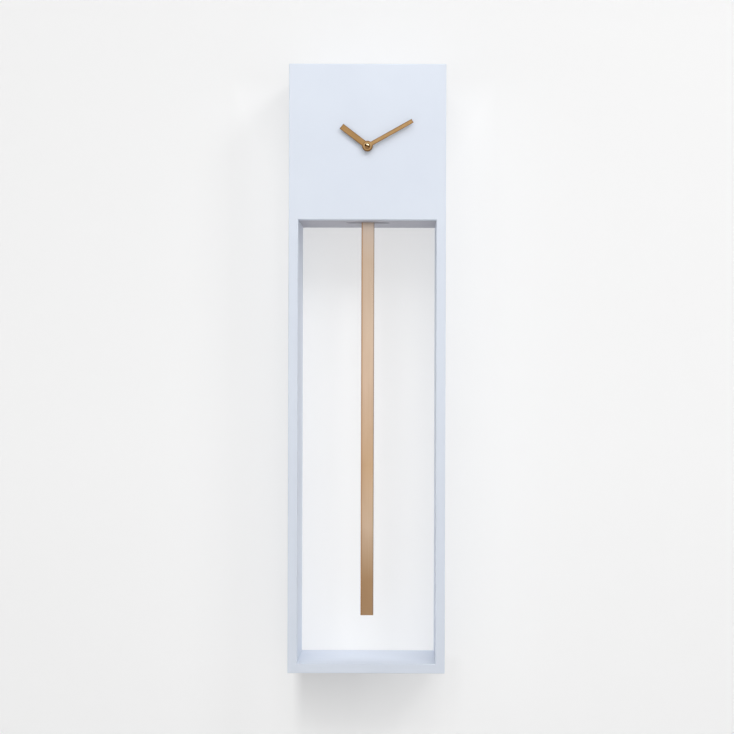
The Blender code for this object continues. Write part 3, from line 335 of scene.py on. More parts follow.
def soft_rubber():
    paint = Paint("soft_rubber", Roughness=0.82, Specular_IOR_Level=0.3)
    dust = paint.noise(600.0, 4.0, 0.65)
    colour = paint.blend(paint.spread(dust, 0.45, 0.75), srgb(30, 30, 31), srgb(62, 61, 60))
    return paint.finish(colour, None, paint.bump(dust, 0.25, 0.08 * MM))


def circuit_green():
    """Solder mask over copper tracks."""
    paint = Paint("solder_mask", Roughness=0.3, Coat_Weight=0.3)
    tracks = paint.add("ShaderNodeTexBrick", {"Vector": paint.place, "Scale": 260.0, "Mortar Size": 0.06})
    colour = paint.blend(tracks.outputs["Fac"], srgb(18, 74, 44), srgb(34, 112, 66))
    return paint.finish(colour, None, paint.bump(tracks.outputs["Fac"], 0.2, 0.05 * MM))


def wound_copper(name, axis_scale):
    """Enamelled wire, one turn beside the next, darker in the grooves between turns: painted shade."""
    paint = Paint(name, Roughness=0.3, Metallic=1.0)
    inputs = {"Vector": paint.stretched(*axis_scale), "Scale": 1.0, "Distortion": 0.6}
    turns = paint.add("ShaderNodeTexWave", inputs, wave_type="BANDS", bands_direction="X")
    # painted shade: the wire darkens into the grooves between its turns
    colour = paint.blend(turns.outputs["Fac"], srgb(120, 54, 26), srgb(206, 112, 62))
    return paint.finish(colour, None, paint.bump(turns.outputs["Fac"], 0.6, 0.1 * MM))


def battery_wrap():
    """A plain grey-green sleeve with a darker end and no lettering, between bright steel ends."""
    paint = Paint("battery_sleeve", Roughness=0.3, Coat_Weight=0.4)
    along = paint.spread(paint.axis("X"), *(end.x for end in BOXES["battery"]))
    scuffs = paint.noise(180.0, 5.0, 0.65)
    colour = paint.blend(paint.spread(along, 0.70, 0.705), srgb(158, 174, 164), srgb(92, 112, 102))
    band = paint.add("ShaderNodeMath", {0: along, 1: 0.685, 2: 0.006}, operation="COMPARE").outputs[0]
    colour = paint.blend(band, colour, srgb(214, 210, 200))
    colour = paint.blend(paint.spread(scuffs, 0.62, 0.8, 0.0, 0.3), colour, srgb(150, 150, 150))
    bare = paint.maths("ADD", paint.spread(along, 0.010, 0.011, 1.0, 0.0), paint.spread(along, 0.966, 0.967))
    colour = paint.blend(bare, colour, srgb(200, 202, 204))
    paint.coat(Metallic=paint.spread(bare, 0.0, 1.0, 0.3, 1.0))
    return paint.finish(colour, paint.vary(scuffs, 0.24, 0.4))


MATERIALS = {
    "painted_board": painted_board("pale_blue_lacquer", srgb(219, 226, 238), srgb(223, 230, 241)),
    "raw_board": planed_pine("pine_along_the_rail", "X"),
    "gold_metal": polished_gold_with_painted_reflections(CAP_RADIUS),
    "satin_gold_metal": bar_gold(),
    "brass": turned_brass(),
    "steel": zinc_steel(),
    "black_plastic": moulded_plastic("black_plastic", srgb(40, 40, 42), srgb(54, 54, 56)),
    "grey_plastic": moulded_plastic("grey_plastic", srgb(118, 120, 122), srgb(134, 136, 138)),
    "white_plastic": moulded_plastic("natural_plastic", srgb(226, 222, 210), srgb(236, 233, 224), 0.38),
    "rubber": soft_rubber(),
    "circuit_green": circuit_green(),
    "copper_wire": wound_copper("wound_copper", (3500.0, 0.0, 0.0)),
    "battery_skin": battery_wrap(),
}
UPRIGHT_PINE = planed_pine("pine_on_end", "Z")
# A greyer, darker lacquer for the board under the head: painted shade on its underside.
PAINTED_SHADE_UNDERSIDE = painted_board("underside_with_painted_shade", srgb(180, 179, 187), srgb(187, 186, 194))


# Small tools for shapes


def show(thing):
    bpy.context.scene.collection.objects.link(thing)


def worked_out(thing):
    """The mesh that a shown curve or modified object comes to."""
    bpy.context.view_layer.update()
    graph = bpy.context.evaluated_depsgraph_get()
    return bpy.data.meshes.new_from_object(thing.evaluated_get(graph))


def adopt(piece, node, material=None):
    """Makes a shape stand for a CAD node: it rides the node's body and takes its finish."""
    if not piece.users_collection:
        show(piece)
    piece.data.materials.clear()
    piece.data.materials.append(material or MATERIALS[SLOT_OF[node]])
    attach(piece, BODY_OF[node])
    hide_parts(node)


def smooth(piece):
    """Smooth shading that keeps sharp corners sharp and flat faces flat."""
    piece.data.shade_smooth()
    piece.data.set_sharp_from_angle(angle=SMOOTH_ANGLE)
    weighting = piece.modifiers.new("flat_faces", "WEIGHTED_NORMAL")
    weighting.weight = 100
    weighting.keep_sharp = True
    return piece


def from_bmesh(name, shape):
    mesh = bpy.data.meshes.new(name)
    bmesh.ops.recalc_face_normals(shape, faces=shape.faces)
    shape.to_mesh(mesh)
    shape.free()
    return smooth(bpy.data.objects.new(name, mesh))


def block(low, high):
    """A bmesh box between two corners."""
    shape = bmesh.new()
    bmesh.ops.create_cube(shape, size=1.0)
    for vert in shape.verts:
        vert.co = [a + (b - a) * (c + 0.5) for a, b, c in zip(low, high, vert.co)]
    return shape


def board(name, low, high, radius, is_round):
    """A board whose chosen edges are rounded."""
    return soften(from_bmesh(name, block(low, high)), radius, is_round)


def soften(piece, radius, is_round):
    """Rounds the square edges of a piece whose middles pass is_round."""
    shape = bmesh.new()
    shape.from_mesh(piece.data)
    square = [edge for edge in shape.edges if edge.calc_face_angle() > SQUARE_ANGLE]
    chosen = [edge for edge in square if is_round((edge.verts[0].co + edge.verts[1].co) / 2)]
    bmesh.ops.bevel(shape, geom=chosen, offset=radius, segments=4, profile=0.5, affect="EDGES")
    name = piece.name
    bpy.data.objects.remove(piece)
    return from_bmesh(name, shape)


def everywhere(place):
    return True


def upright(name, outline, low_z, high_z):
    """A prism that stands on an (x, y) outline."""
    shape = bmesh.new()
    foot = shape.faces.new([shape.verts.new((x, y, low_z)) for x, y in outline])
    raised = bmesh.ops.extrude_face_region(shape, geom=[foot])["geom"]
    corners = [item for item in raised if isinstance(item, bmesh.types.BMVert)]
    bmesh.ops.translate(shape, verts=corners, vec=(0.0, 0.0, high_z - low_z))
    return from_bmesh(name, shape)


def merged(name, pieces):
    """One object from several shapes, each where it stands."""
    shape = bmesh.new()
    for piece in pieces:
        piece.data.transform(piece.matrix_basis)
        shape.from_mesh(piece.data)
        bpy.data.objects.remove(piece)
    return from_bmesh(name, shape)


def near(a, b):
    return abs(a - b) < 0.2 * MM


def long_edges(z):
    """Picks the edges that run from side board to side board at one height."""
    return lambda place: abs(place.x) < MM and near(place.z, z)


def between_sides(node):
    """The corners of a board that is fitted between the side boards."""
    low, high = (corner.copy() for corner in BOXES[node])
    low.x, high.x = INNER_LEFT + SEAM, INNER_RIGHT - SEAM
    return low, high


def arc(centre, radius, start, end, steps):
    angles = [start + (end - start) * i / steps for i in range(steps + 1)]
    return [(centre[0] + radius * cos(a), centre[1] + radius * sin(a)) for a in angles]


def circle(centre, radius, steps=64):
    return arc(centre, radius, 0.0, tau * (1 - 1 / steps), steps - 1)


def ring(outer, inner, steps=64):
    """A round outline with a round hole."""
    return [circle((0.0, 0.0), outer, steps), circle((0.0, 0.0), inner)]


def strap(top, foot, half):
    """An upright outline with two round ends, around x = 0."""
    return arc((0.0, top), half, 0.0, pi, 24) + arc((0.0, foot), half, pi, tau, 24)


def keyhole(top, drop, narrow, wide, steps):
    """A narrow slot, rounded at its top, that opens into a wide round hole."""
    side = acos(narrow / wide)
    slot = arc(top, narrow, 0.0, pi, steps)
    return slot + arc((top[0], top[1] - drop), wide, pi - side, tau + side, 2 * steps)


def rectangle(low, high):
    return [low, (high[0], low[1]), high, (low[0], high[1])]


def rounded_rectangle(low, high, radius, steps=8):
    left, right = low[0] + radius, high[0] - radius
    foot, top = low[1] + radius, high[1] - radius
    points = []
    for quarter, centre in enumerate(((right, top), (left, top), (left, foot), (right, foot))):
        start = quarter * pi / 2
        points += arc(centre, radius, start, start + pi / 2, steps)
    return points


def dome(radius, front, rise, steps):
    """The lathe profile of a dome, from its middle to its rim."""
    angles = [i * pi / 2 / steps for i in range(steps + 1)]
    return [(radius * sin(angle), front + rise * (1 - cos(angle))) for angle in angles]


def sheet_part(name, loops, front, back, at=(0.0, 0.0), turn=0.0, rounding=0.12 * MM, lying=False):
    """A flat piece cut to outlines, with softly rounded edges, facing the front or lying down."""
    curve = bpy.data.curves.new(name, "CURVE")
    curve.dimensions = "2D"
    curve.fill_mode = "BOTH"
    curve.bevel_depth = rounding
    curve.bevel_resolution = 2
    curve.offset = -rounding
    curve.extrude = (back - front) / 2 - rounding
    for loop in loops:
        spline = curve.splines.new("POLY")
        spline.points.add(len(loop) - 1)
        for point, (x, z) in zip(spline.points, loop):
            point.co = (x, z, 0.0, 1.0)
        spline.use_cyclic_u = True
    guide = bpy.data.objects.new(name + "_outline", curve)
    show(guide)
    mesh = worked_out(guide)
    bpy.data.objects.remove(guide)
    shape = bmesh.new()
    shape.from_mesh(mesh)
    bmesh.ops.remove_doubles(shape, verts=shape.verts, dist=0.002 * MM)
    bpy.data.meshes.remove(mesh)
    piece = from_bmesh(name, shape)
    if lying:
        piece.location = (at[0], at[1], (front + back) / 2)
    else:
        piece.location = (at[0], (front + back) / 2, at[1])
        piece.rotation_euler = (pi / 2, turn, 0.0)
    return piece


def turned(name, profile, at, along="Y", steps=64):
    """A lathe shape from (radius, place along the axis) points, joined up if they start off the axis."""
    shape = bmesh.new()
    verts = [shape.verts.new((radius, 0.0, place)) for radius, place in profile]
    edges = [shape.edges.new(pair) for pair in zip(verts, verts[1:])]
    if profile[0][0] > 0:
        edges.append(shape.edges.new((verts[-1], verts[0])))
    bmesh.ops.spin(shape, geom=verts + edges, cent=(0, 0, 0), axis=(0, 0, 1), angle=tau, steps=steps)
    bmesh.ops.remove_doubles(shape, verts=shape.verts, dist=0.001 * MM)
    piece = from_bmesh(name, shape)
    if along == "Y":
        piece.location = (at[0], 0.0, at[1])
        piece.rotation_euler = (-pi / 2, 0.0, 0.0)
    else:
        piece.location = (0.0, at[0], at[1])
        piece.rotation_euler = (0.0, pi / 2, 0.0)
    return piece


def carve(piece, *cutters, operation="DIFFERENCE"):
    """Cuts shapes from a piece for good, or keeps what it shares with them, and removes them."""
    for thing in (piece, *cutters):
        if not thing.users_collection:
            show(thing)
    piece.modifiers.clear()
    for cutter in cutters:
        step = piece.modifiers.new(cutter.name, "BOOLEAN")
        step.operation = operation
        step.object = cutter
    mesh = worked_out(piece)
    piece.modifiers.clear()
    piece.data = mesh
    for cutter in cutters:
        bpy.data.objects.remove(cutter)
    return smooth(piece)


def soft_profile(corners, radius, steps=3):
    """A lathe profile whose corners off the axis are rounded."""
    points = []
    last = len(corners) - 1
    for i, corner in enumerate(corners):
        corner = Vector(corner)
        if corner.x == 0 or (corners[0][0] == 0 and i in (0, last)):
            points.append(tuple(corner))
            continue
        before = Vector(corners[i - 1])
        after = Vector(corners[(i + 1) % len(corners)])
        reach = min(radius, (before - corner).length * 0.45, (after - corner).length * 0.45)
        start = corner + (before - corner).normalized() * reach
        end = corner + (after - corner).normalized() * reach
        for step in range(steps + 1):
            share = step / steps
            points.append(tuple(start.lerp(corner, share).lerp(corner.lerp(end, share), share)))
    return points


def punch(name, outline, front, back, at=(0.0, 0.0), turn=0.0):
    """A nearly sharp-edged shape to carve with."""
    return sheet_part(name, [outline], front, back, at, turn, rounding=CUTTER_ROUNDING)


def rod(start, *lengths):
    """The lathe profile of a rod that goes on from its start in (radius, end) lengths."""
    points = [(0.0, start)]
    for radius, end in lengths:
        points += [(radius, start), (radius, end)]
        start = end
    return points + [(0.0, start)]


def drill(name, radius, front, back, at):
    return turned(name, rod(front, (radius, back)), at, steps=48)


# The case


def make_side_boards():
    """Each board is rounded outside, and along the window only from sill to head."""
    for side, inner, inward in (("left", INNER_LEFT, 1), ("right", INNER_RIGHT, -1)):
        node = f"{side}_side_board"
        piece = board(f"painted_{side}_side", *BOXES[node], CASE_ROUNDING,
                      lambda place, inner=inner: not near(place.x, inner))
        middle = (inner - inward * WINDOW_ROUNDING, FRONT + WINDOW_ROUNDING)
        frontmost = -pi / 2
        waste = arc(middle, WINDOW_ROUNDING, frontmost, frontmost + inward * pi / 2, 6)
        waste += [(inner + inward * MM, FRONT + WINDOW_ROUNDING), (inner + inward * MM, FRONT - MM),
                  (middle[0], FRONT - MM)]
        adopt(carve(piece, upright(f"{side}_window_edge", waste, WINDOW_BOTTOM, HEAD_BOTTOM)), node)


def make_top_and_bottom():
    piece = board("painted_top_board", *between_sides("top_board"), CASE_ROUNDING, long_edges(TOP))
    adopt(piece, "top_board")
    piece = board("painted_bottom_board", *between_sides("bottom_board"), CASE_ROUNDING, long_edges(BOTTOM))
    adopt(soften(piece, WINDOW_ROUNDING, long_edges(WINDOW_BOTTOM)), "bottom_board")


def make_head_panel():
    low, high = between_sides("head_front_panel")
    high.z = HEAD_TOP - SEAM
    at_foot = long_edges(HEAD_BOTTOM)
    piece = board("painted_head_panel", low, high, WINDOW_ROUNDING,
                  lambda place: at_foot(place) and near(place.y, FRONT))
    hole = drill("shaft_hole", 4.3 * MM, FRONT - MM, PANEL_BACK + MM, AT_SHAFT)
    adopt(carve(piece, hole), "head_front_panel")


def make_head_floor():
    """The board under the head, with the pendulum's slot."""
    low, high = between_sides("head_floor_board")
    outline = rectangle((low.x, PANEL_BACK + SEAM), (high.x, high.y))
    slot_y = centre_of("pendulum_bar").y
    reach, half = 22 * MM, 6 * MM
    slot = arc((reach, slot_y), half, -pi / 2, pi / 2, 24)
    slot += arc((-reach, slot_y), half, pi / 2, 3 * pi / 2, 24)
    piece = sheet_part("painted_head_floor", [outline, slot], low.z, high.z, rounding=0.05 * MM, lying=True)
    # the board under the head takes the greyer lacquer, a painted shade
    adopt(piece, "head_floor_board", PAINTED_SHADE_UNDERSIDE)


# Hands

HANDS = {
    "hour_hand": dict(hub=6.75 * MM, width=7.6 * MM, length=41.5 * MM, bore=2.5 * MM, fillet=0.5 * MM,
                      angle=radians(307.4), light=srgb(175, 140, 94), deep=srgb(162, 126, 80)),
    "minute_hand": dict(hub=6.2 * MM, width=5.2 * MM, length=65.5 * MM, bore=1.6 * MM, fillet=2.2 * MM,
                        angle=radians(60.7), light=srgb(186, 153, 108), deep=srgb(173, 138, 93)),
}


def hand(node, hub, width, length, bore, fillet, angle, light, deep):
    """A flat hand: a round hub that runs into a straight square-ended stem."""
    half = width / 2
    low, high = BOXES[node]
    reach = sqrt((hub + fillet) ** 2 - (half + fillet) ** 2)
    turn = atan2(reach, half + fillet)
    corner = 0.25 * MM
    stem = arc((half - corner, length - corner), corner, 0.0, pi / 2, 4)
    stem += arc((-half + corner, length - corner), corner, pi / 2, pi, 4)
    left_fillet = arc((-half - fillet, reach), fillet, 0.0, -turn, 8)
    right_fillet = arc((half + fillet, reach), fillet, pi + turn, pi, 8)
    around = arc((0.0, 0.0), hub, pi - turn, tau + turn, 72)[1:-1]
    loops = [stem + left_fillet + around + right_fillet, circle((0.0, 0.0), bore)]
    piece = sheet_part(f"gold_{node}", loops, low.y, high.y, AT_SHAFT, angle, rounding=0.1 * MM)
    adopt(piece, node, hand_gold(f"brushed_{node}", hub, width, length, light, deep))


def make_hands():
    """Both hands, and the domed cap nut with its small foot."""
    for node, sizes in HANDS.items():
        hand(node, **sizes)
    low, high = BOXES["cap_nut"]
    bore, depth = 1.6 * MM, 2 * MM
    foot = [(CAP_RADIUS, high.y - 0.25 * MM), (CAP_RADIUS - 0.1 * MM, high.y - 0.1 * MM),
            (CAP_RADIUS - 0.25 * MM, high.y), (bore, high.y), (bore, high.y - depth), (0.0, high.y - depth)]
    profile = dome(CAP_RADIUS, low.y, 2.9 * MM, 16) + foot
    adopt(turned("gold_cap_nut", profile, AT_SHAFT), "cap_nut")


# Pendulum


def make_bar():
    low, high = BOXES["pendulum_bar"]
    piece = board("gold_pendulum_bar", low, high, 0.45 * MM, everywhere)
    holes = [drill(f"{rivet}_hole", RIVET_HOLE, low.y - MM, high.y + MM, spot(rivet))
             for rivet in ("hanger_rivet_upper", "hanger_rivet_lower")]
    adopt(carve(piece, *holes), "pendulum_bar")


def make_hanger():
    """The steel strap, with a keyhole that hooks on the swing arm's stud, and its two rivets."""
    low, high = BOXES["pendulum_hanger"]
    half = high.x
    outline = strap(high.z - half, low.z + half, half)
    slot = keyhole((0.0, STUD_Z), 4.5 * MM, 1.7 * MM, 2.7 * MM, 16)
    holes = [circle(spot(f"hanger_rivet_{end}"), RIVET_HOLE, 32) for end in ("upper", "lower")]
    adopt(sheet_part("steel_hanger_strap", [outline, slot, *holes], low.y, high.y), "pendulum_hanger")

    for end in ("upper", "lower"):
        node = f"hanger_rivet_{end}"
        low, high = BOXES[node]
        radius, rise = 1.0 * MM, 0.8 * MM
        front = dome(high.x, low.y, rise, 8)
        back = [(out, low.y + high.y - y) for out, y in reversed(front)]
        shank = [(radius, low.y + rise), (radius, high.y - rise)]
        adopt(turned(f"steel_rivet_{end}", front + shank + back, spot(node), steps=32), node)


def make_swing_arm():
    """A plate from pivot to stud with a hub, a cup around the magnet, a headed stud and two ribs."""
    low, high = BOXES["swing_arm"]
    plate_front, plate_back = low.y + 2.4 * MM, low.y + 4.6 * MM
    magnet = centre_of("drive_magnet")
    loops = [strap(PIVOT.z, STUD_Z, 4 * MM), circle(AT_PIVOT, 2.3 * MM)]
    parts = [sheet_part("arm_plate", loops, plate_front, plate_back, rounding=0.3 * MM)]

    hub, bore, hub_back = 3.2 * MM, 1.45 * MM, low.y + 5.8 * MM
    profile = [(hub, low.y), (hub, hub_back), (bore, hub_back), (bore, low.y)]
    parts.append(turned("arm_hub", soft_profile(profile, 0.25 * MM), AT_PIVOT))

    seat, rim = 4.0 * MM, 5.0 * MM
    profile = rod(plate_front - CUT_SPARE, (seat, low.y + 0.1 * MM), (rim, plate_back + 0.3 * MM))
    parts.append(turned("arm_cup", soft_profile(profile, 0.4 * MM), (0.0, magnet.z)))

    stem, head = 1.5 * MM, 2.4 * MM
    profile = rod(plate_front + 1 * MM, (stem, high.y - 0.8 * MM), (head, high.y))
    parts.append(turned("arm_stud", soft_profile(profile, 0.25 * MM), (0.0, STUD_Z)))

    for sign in (-1, 1):
        rib_low = (sign * 2.9 * MM - 0.4 * MM, plate_back - 0.1 * MM, STUD_Z + 2 * MM)
        rib_high = (sign * 2.9 * MM + 0.4 * MM, plate_back + 0.5 * MM, magnet.z - 5 * MM)
        parts.append(board("arm_rib", rib_low, rib_high, 0.15 * MM, everywhere))
    adopt(merged("moulded_swing_arm", parts), "swing_arm")


def make_pivot():
    """The headed pin, and a retaining clip with three teeth and an opening at its foot."""
    low, high = BOXES["pivot_pin"]
    profile = rod(low.y, (high.x, low.y + 1.3 * MM), (1.25 * MM, high.y))
    adopt(turned("steel_pivot_pin", soft_profile(profile, 0.25 * MM), AT_PIVOT), "pivot_pin")

    low, high = BOXES["pivot_clip"]
    opening = radians(38)
    down = -pi / 2
    third = tau / 3
    tooth_tip, tooth_root = 1.4 * MM, 2.1 * MM
    outline = arc((0.0, 0.0), high.x, down + opening, down + tau - opening, 48)
    for tooth in range(3):
        middle = radians(210) - third * tooth
        outline += arc((0.0, 0.0), tooth_tip, middle + 0.3, middle - 0.3, 6)
        if tooth < 2:
            outline += arc((0.0, 0.0), tooth_root, middle - 0.45, middle - third + 0.45, 10)
    clip = sheet_part("steel_retaining_clip", [outline], low.y, high.y, AT_PIVOT, rounding=0.08 * MM)
    adopt(clip, "pivot_clip")


# What hangs the case

PLATE_CORNER = 4 * MM


def make_rail():
    """Each keyhole plate lies in a pocket, over a hollow for the wall screw's head."""
    low, high = BOXES["hanging_rail"]
    piece = board("pine_hanging_rail", low, high, 1.0 * MM, everywhere)
    room, hollow_half, hollow_reach = 0.3 * MM, 5.6 * MM, 8 * MM
    cutters = []
    for side in ("left", "right"):
        plate_low, plate_high = BOXES[f"keyhole_plate_{side}"]
        x, z = spot(f"keyhole_plate_{side}")
        pocket = rounded_rectangle((plate_low.x - room, plate_low.z - room),
                                   (plate_high.x + room, plate_high.z + room), PLATE_CORNER + room)
        hollow = rounded_rectangle((x - hollow_half, z - hollow_reach), (x + hollow_half, z + hollow_reach),
                                   4 * MM)
        cutters.append(punch(f"{side}_pocket", pocket, plate_low.y - room, high.y + 3 * MM))
        cutters.append(punch(f"{side}_hollow", hollow, low.y + 5.5 * MM, plate_low.y))
        for end in ("outer", "inner"):
            at = spot(f"keyhole_screw_{side}_{end}")
            cutters.append(drill(f"{side}_{end}_pilot", 1.65 * MM, low.y + 4.7 * MM, high.y + MM, at))
    adopt(carve(piece, *cutters), "hanging_rail")


def make_keyhole_plates():
    """Two plates, each with a keyhole and two countersunk screws."""
    sink_front, sink_back = 1.95 * MM, 3.35 * MM
    for side in ("left", "right"):
        node = f"keyhole_plate_{side}"
        low, high = BOXES[node]
        x, z = spot(node)
        outline = rounded_rectangle((low.x, low.z), (high.x, high.z), PLATE_CORNER)
        slot = keyhole((x, z + 2.7 * MM), 5 * MM, 2.3 * MM, 4.6 * MM, 24)
        plate = sheet_part(f"zinc_keyhole_plate_{side}", [outline, slot], low.y, high.y)
        front, back = low.y - CUT_SPARE, high.y + CUT_SPARE
        cone = [(0.0, front), (sink_front, front), (sink_back, back), (0.0, back)]
        sinks = []
        for end in ("outer", "inner"):
            screw = f"keyhole_screw_{side}_{end}"
            sinks.append(turned(f"{side}_{end}_sink", cone, spot(screw), steps=48))
            make_wood_screw(screw, spot(screw))
        adopt(carve(plate, *sinks), node)


def make_wood_screw(node, place):
    """A countersunk screw with a cross recess."""
    low, high = BOXES[node]
    head = high.x - centre_of(node).x
    shank, tip = 1.5 * MM, 0.5 * MM
    profile = [(0.0, low.y), (tip, low.y), (shank, low.y + 1.5 * MM), (shank, high.y - head + 1.4 * MM),
               (head - 0.1 * MM, high.y - 0.1 * MM), (head - 0.25 * MM, high.y), (0.0, high.y)]
    piece = turned(f"zinc_{node}", profile, place, steps=32)
    turn = place[0] * 40  # no two screws stop at the same angle
    reach, half = 1.6 * MM, 0.32 * MM
    wing = rectangle((-reach, -half), (reach, half))
    slots = [punch(f"{node}_recess", wing, high.y - 1.1 * MM, high.y + 0.5 * MM, place, turn + quarter)
             for quarter in (0.0, pi / 2)]
    adopt(carve(piece, *slots), node)


def make_blocks_and_bumpers():
    for side in ("left", "right"):
        node = f"panel_glue_block_{side}"
        adopt(board(f"pine_glue_block_{side}", *BOXES[node], 0.8 * MM, everywhere), node, UPRIGHT_PINE)
        node = f"wall_bumper_{side}"
        low, high = BOXES[node]
        radius = (high.x - low.x) / 2
        profile = soft_profile(rod(low.y, (radius, high.y)), 0.45 * MM, 6)
        adopt(turned(f"rubber_bumper_{side}", profile, spot(node)), node)


# The movement, seen through the open back


def make_front_fixings():
    """Two washers, the chamfered nut and the threaded bushing, behind the hour hand."""
    for node, name, bore in (("brass_washer", "turned_brass_washer", 4.3 * MM),
                             ("rubber_washer", "soft_rubber_washer", 6.3 * MM)):
        low, high = BOXES[node]
        adopt(sheet_part(name, ring(high.x, bore), low.y, high.y, AT_SHAFT), node)

    low, high = BOXES["hex_nut"]
    corner, chamfer, drop = high.x, 0.75 * MM, 0.5 * MM
    nut = sheet_part("chamfered_hex_nut", ring(corner, 4.15 * MM, 6), low.y, high.y, AT_SHAFT,
                     rounding=CUTTER_ROUNDING)
    outside, back = corner + CUT_SPARE, high.y + CUT_SPARE
    barrel = [(0.0, low.y), (corner - chamfer, low.y), (outside, low.y + drop), (outside, back), (0.0, back)]
    carve(nut, turned("nut_chamfer", barrel, AT_SHAFT), operation="INTERSECT")
    adopt(nut, "hex_nut")

    low, high = BOXES["threaded_bushing"]
    flange_front, flange_back = (corner.y for corner in BOXES["rubber_washer"])
    pitch, crest, root, bore = 0.75 * MM, 4.0 * MM, 3.72 * MM, 2.7 * MM
    thread = []
    y = low.y + 0.1 * MM
    while y + pitch < flange_front:
        thread += [(root, y), (crest, y + pitch / 2)]
        y += pitch
    flange = [(root, y), (root, flange_front), (high.x, flange_front), (high.x, flange_back),
              (crest, flange_back), (crest, high.y), (bore, high.y), (bore, low.y), (root - 0.1 * MM, low.y)]
    adopt(turned("brass_threaded_bushing", thread + flange, AT_SHAFT), "threaded_bushing")


def make_movement_case():
    """A box with a gear chamber, a battery bay, a finger notch and ribbed sides."""
    low, high = BOXES["movement_case"]
    wall, corner = 1.2 * MM, 1.2 * MM
    floor, back = low.y + wall, high.y + MM
    bay_top = BOXES["movement_back_cover"][0].z - 0.3 * MM - wall
    case = board("moulded_movement_case", low, high, 1.0 * MM, everywhere)
    bay = rounded_rectangle((low.x + wall, low.z + wall), (high.x - wall, bay_top), corner)
    chamber = rounded_rectangle((low.x + wall, bay_top + wall), (high.x - wall, high.z - wall), corner)
    notch = rounded_rectangle((-7 * MM, low.z - 3 * MM), (7 * MM, low.z + 3 * MM), 2.5 * MM)
    cutters = [punch("battery_bay", bay, floor, back), punch("gear_chamber", chamber, floor, back),
               drill("shaft_hole", 4.15 * MM, low.y - MM, floor + MM, AT_SHAFT),
               punch("finger_notch", notch, high.y - 5 * MM, back)]
    depth, width, pitch = 0.5 * MM, 1.1 * MM, 2.6 * MM
    for side in (low.x, high.x):
        for row in range(7):
            z = SHAFT.z + 4 * MM + row * pitch
            ends = (side - depth, floor + 2 * MM, z), (side + depth, high.y - 2 * MM, z + width)
            cutters.append(board("side_groove", *ends, 0.1 * MM, everywhere))
    adopt(carve(case, *cutters), "movement_case")


def make_back_cover():
    """The plate behind the gears, with a collar around the setting knob and a blank framed field."""
    low, high = BOXES["movement_back_cover"]
    knob = spot("time_setting_knob")
    raised = high.y - 0.45 * MM
    outline = rounded_rectangle((low.x, low.z), (high.x, high.z), 1.2 * MM)
    parts = [sheet_part("cover_plate", [outline, circle(knob, 1.8 * MM)], low.y, high.y - 0.4 * MM,
                        rounding=0.25 * MM),
             sheet_part("knob_collar", [circle(knob, 6.6 * MM), circle(knob, 5.9 * MM)], raised, high.y,
                        rounding=0.1 * MM)]
    left, right, half_height, inset = -9 * MM, 24 * MM, 8 * MM, 0.7 * MM
    frame_loops = [rounded_rectangle((left + step, SHAFT.z - half_height + step),
                                     (right - step, SHAFT.z + half_height - step), radius)
                   for step, radius in ((0.0, 2 * MM), (inset, 1.4 * MM))]
    parts.append(sheet_part("field_frame", frame_loops, raised, high.y, rounding=0.1 * MM))
    for x, z in ((-22, 20), (22, 20), (0, 21), (24, -10), (-24, -10)):
        mark = [circle((x * MM, SHAFT.z + z * MM), radius, 32) for radius in (1.5 * MM, 1.1 * MM)]
        parts.append(sheet_part("pin_mark", mark, raised, high.y - 0.2 * MM, rounding=0.05 * MM))
    adopt(merged("moulded_back_cover", parts), "movement_back_cover")


def make_knob():
    """A knurled wheel on its arbor, with a dished back."""
    node = "time_setting_knob"
    low, high = BOXES[node]
    grip, ridges = 5.3 * MM, 24
    root = grip - 0.45 * MM
    rim = []
    for ridge in range(ridges):
        angle = tau * ridge / ridges
        for share, radius in ((-0.25, root), (-0.12, grip), (0.12, grip), (0.25, root)):
            turn = angle + share * tau / ridges
            rim.append((radius * cos(turn), radius * sin(turn)))
    wheel = sheet_part("knob_rim", [rim, circle((0, 0), 3.6 * MM)], high.y - 2.5 * MM, high.y, spot(node))

    web, boss, dish_front, dish_back, boss_back = 3.8 * MM, 1.9 * MM, 2.3 * MM, 0.9 * MM, 0.2 * MM
    profile = [(0.0, high.y - dish_front), (web, high.y - dish_front), (web, high.y - dish_back),
               (boss, high.y - dish_back), (boss - 0.3 * MM, high.y - boss_back), (0.0, high.y - boss_back)]
    dish = turned("knob_dish", soft_profile(profile, 0.3 * MM), spot(node))

    profile = rod(low.y, (0.6 * MM, low.y + 0.8 * MM), (1.3 * MM, high.y - 1 * MM))
    stem = turned("knob_arbor", profile, spot(node), steps=32)
    adopt(merged("knurled_setting_knob", [wheel, dish, stem]), node)


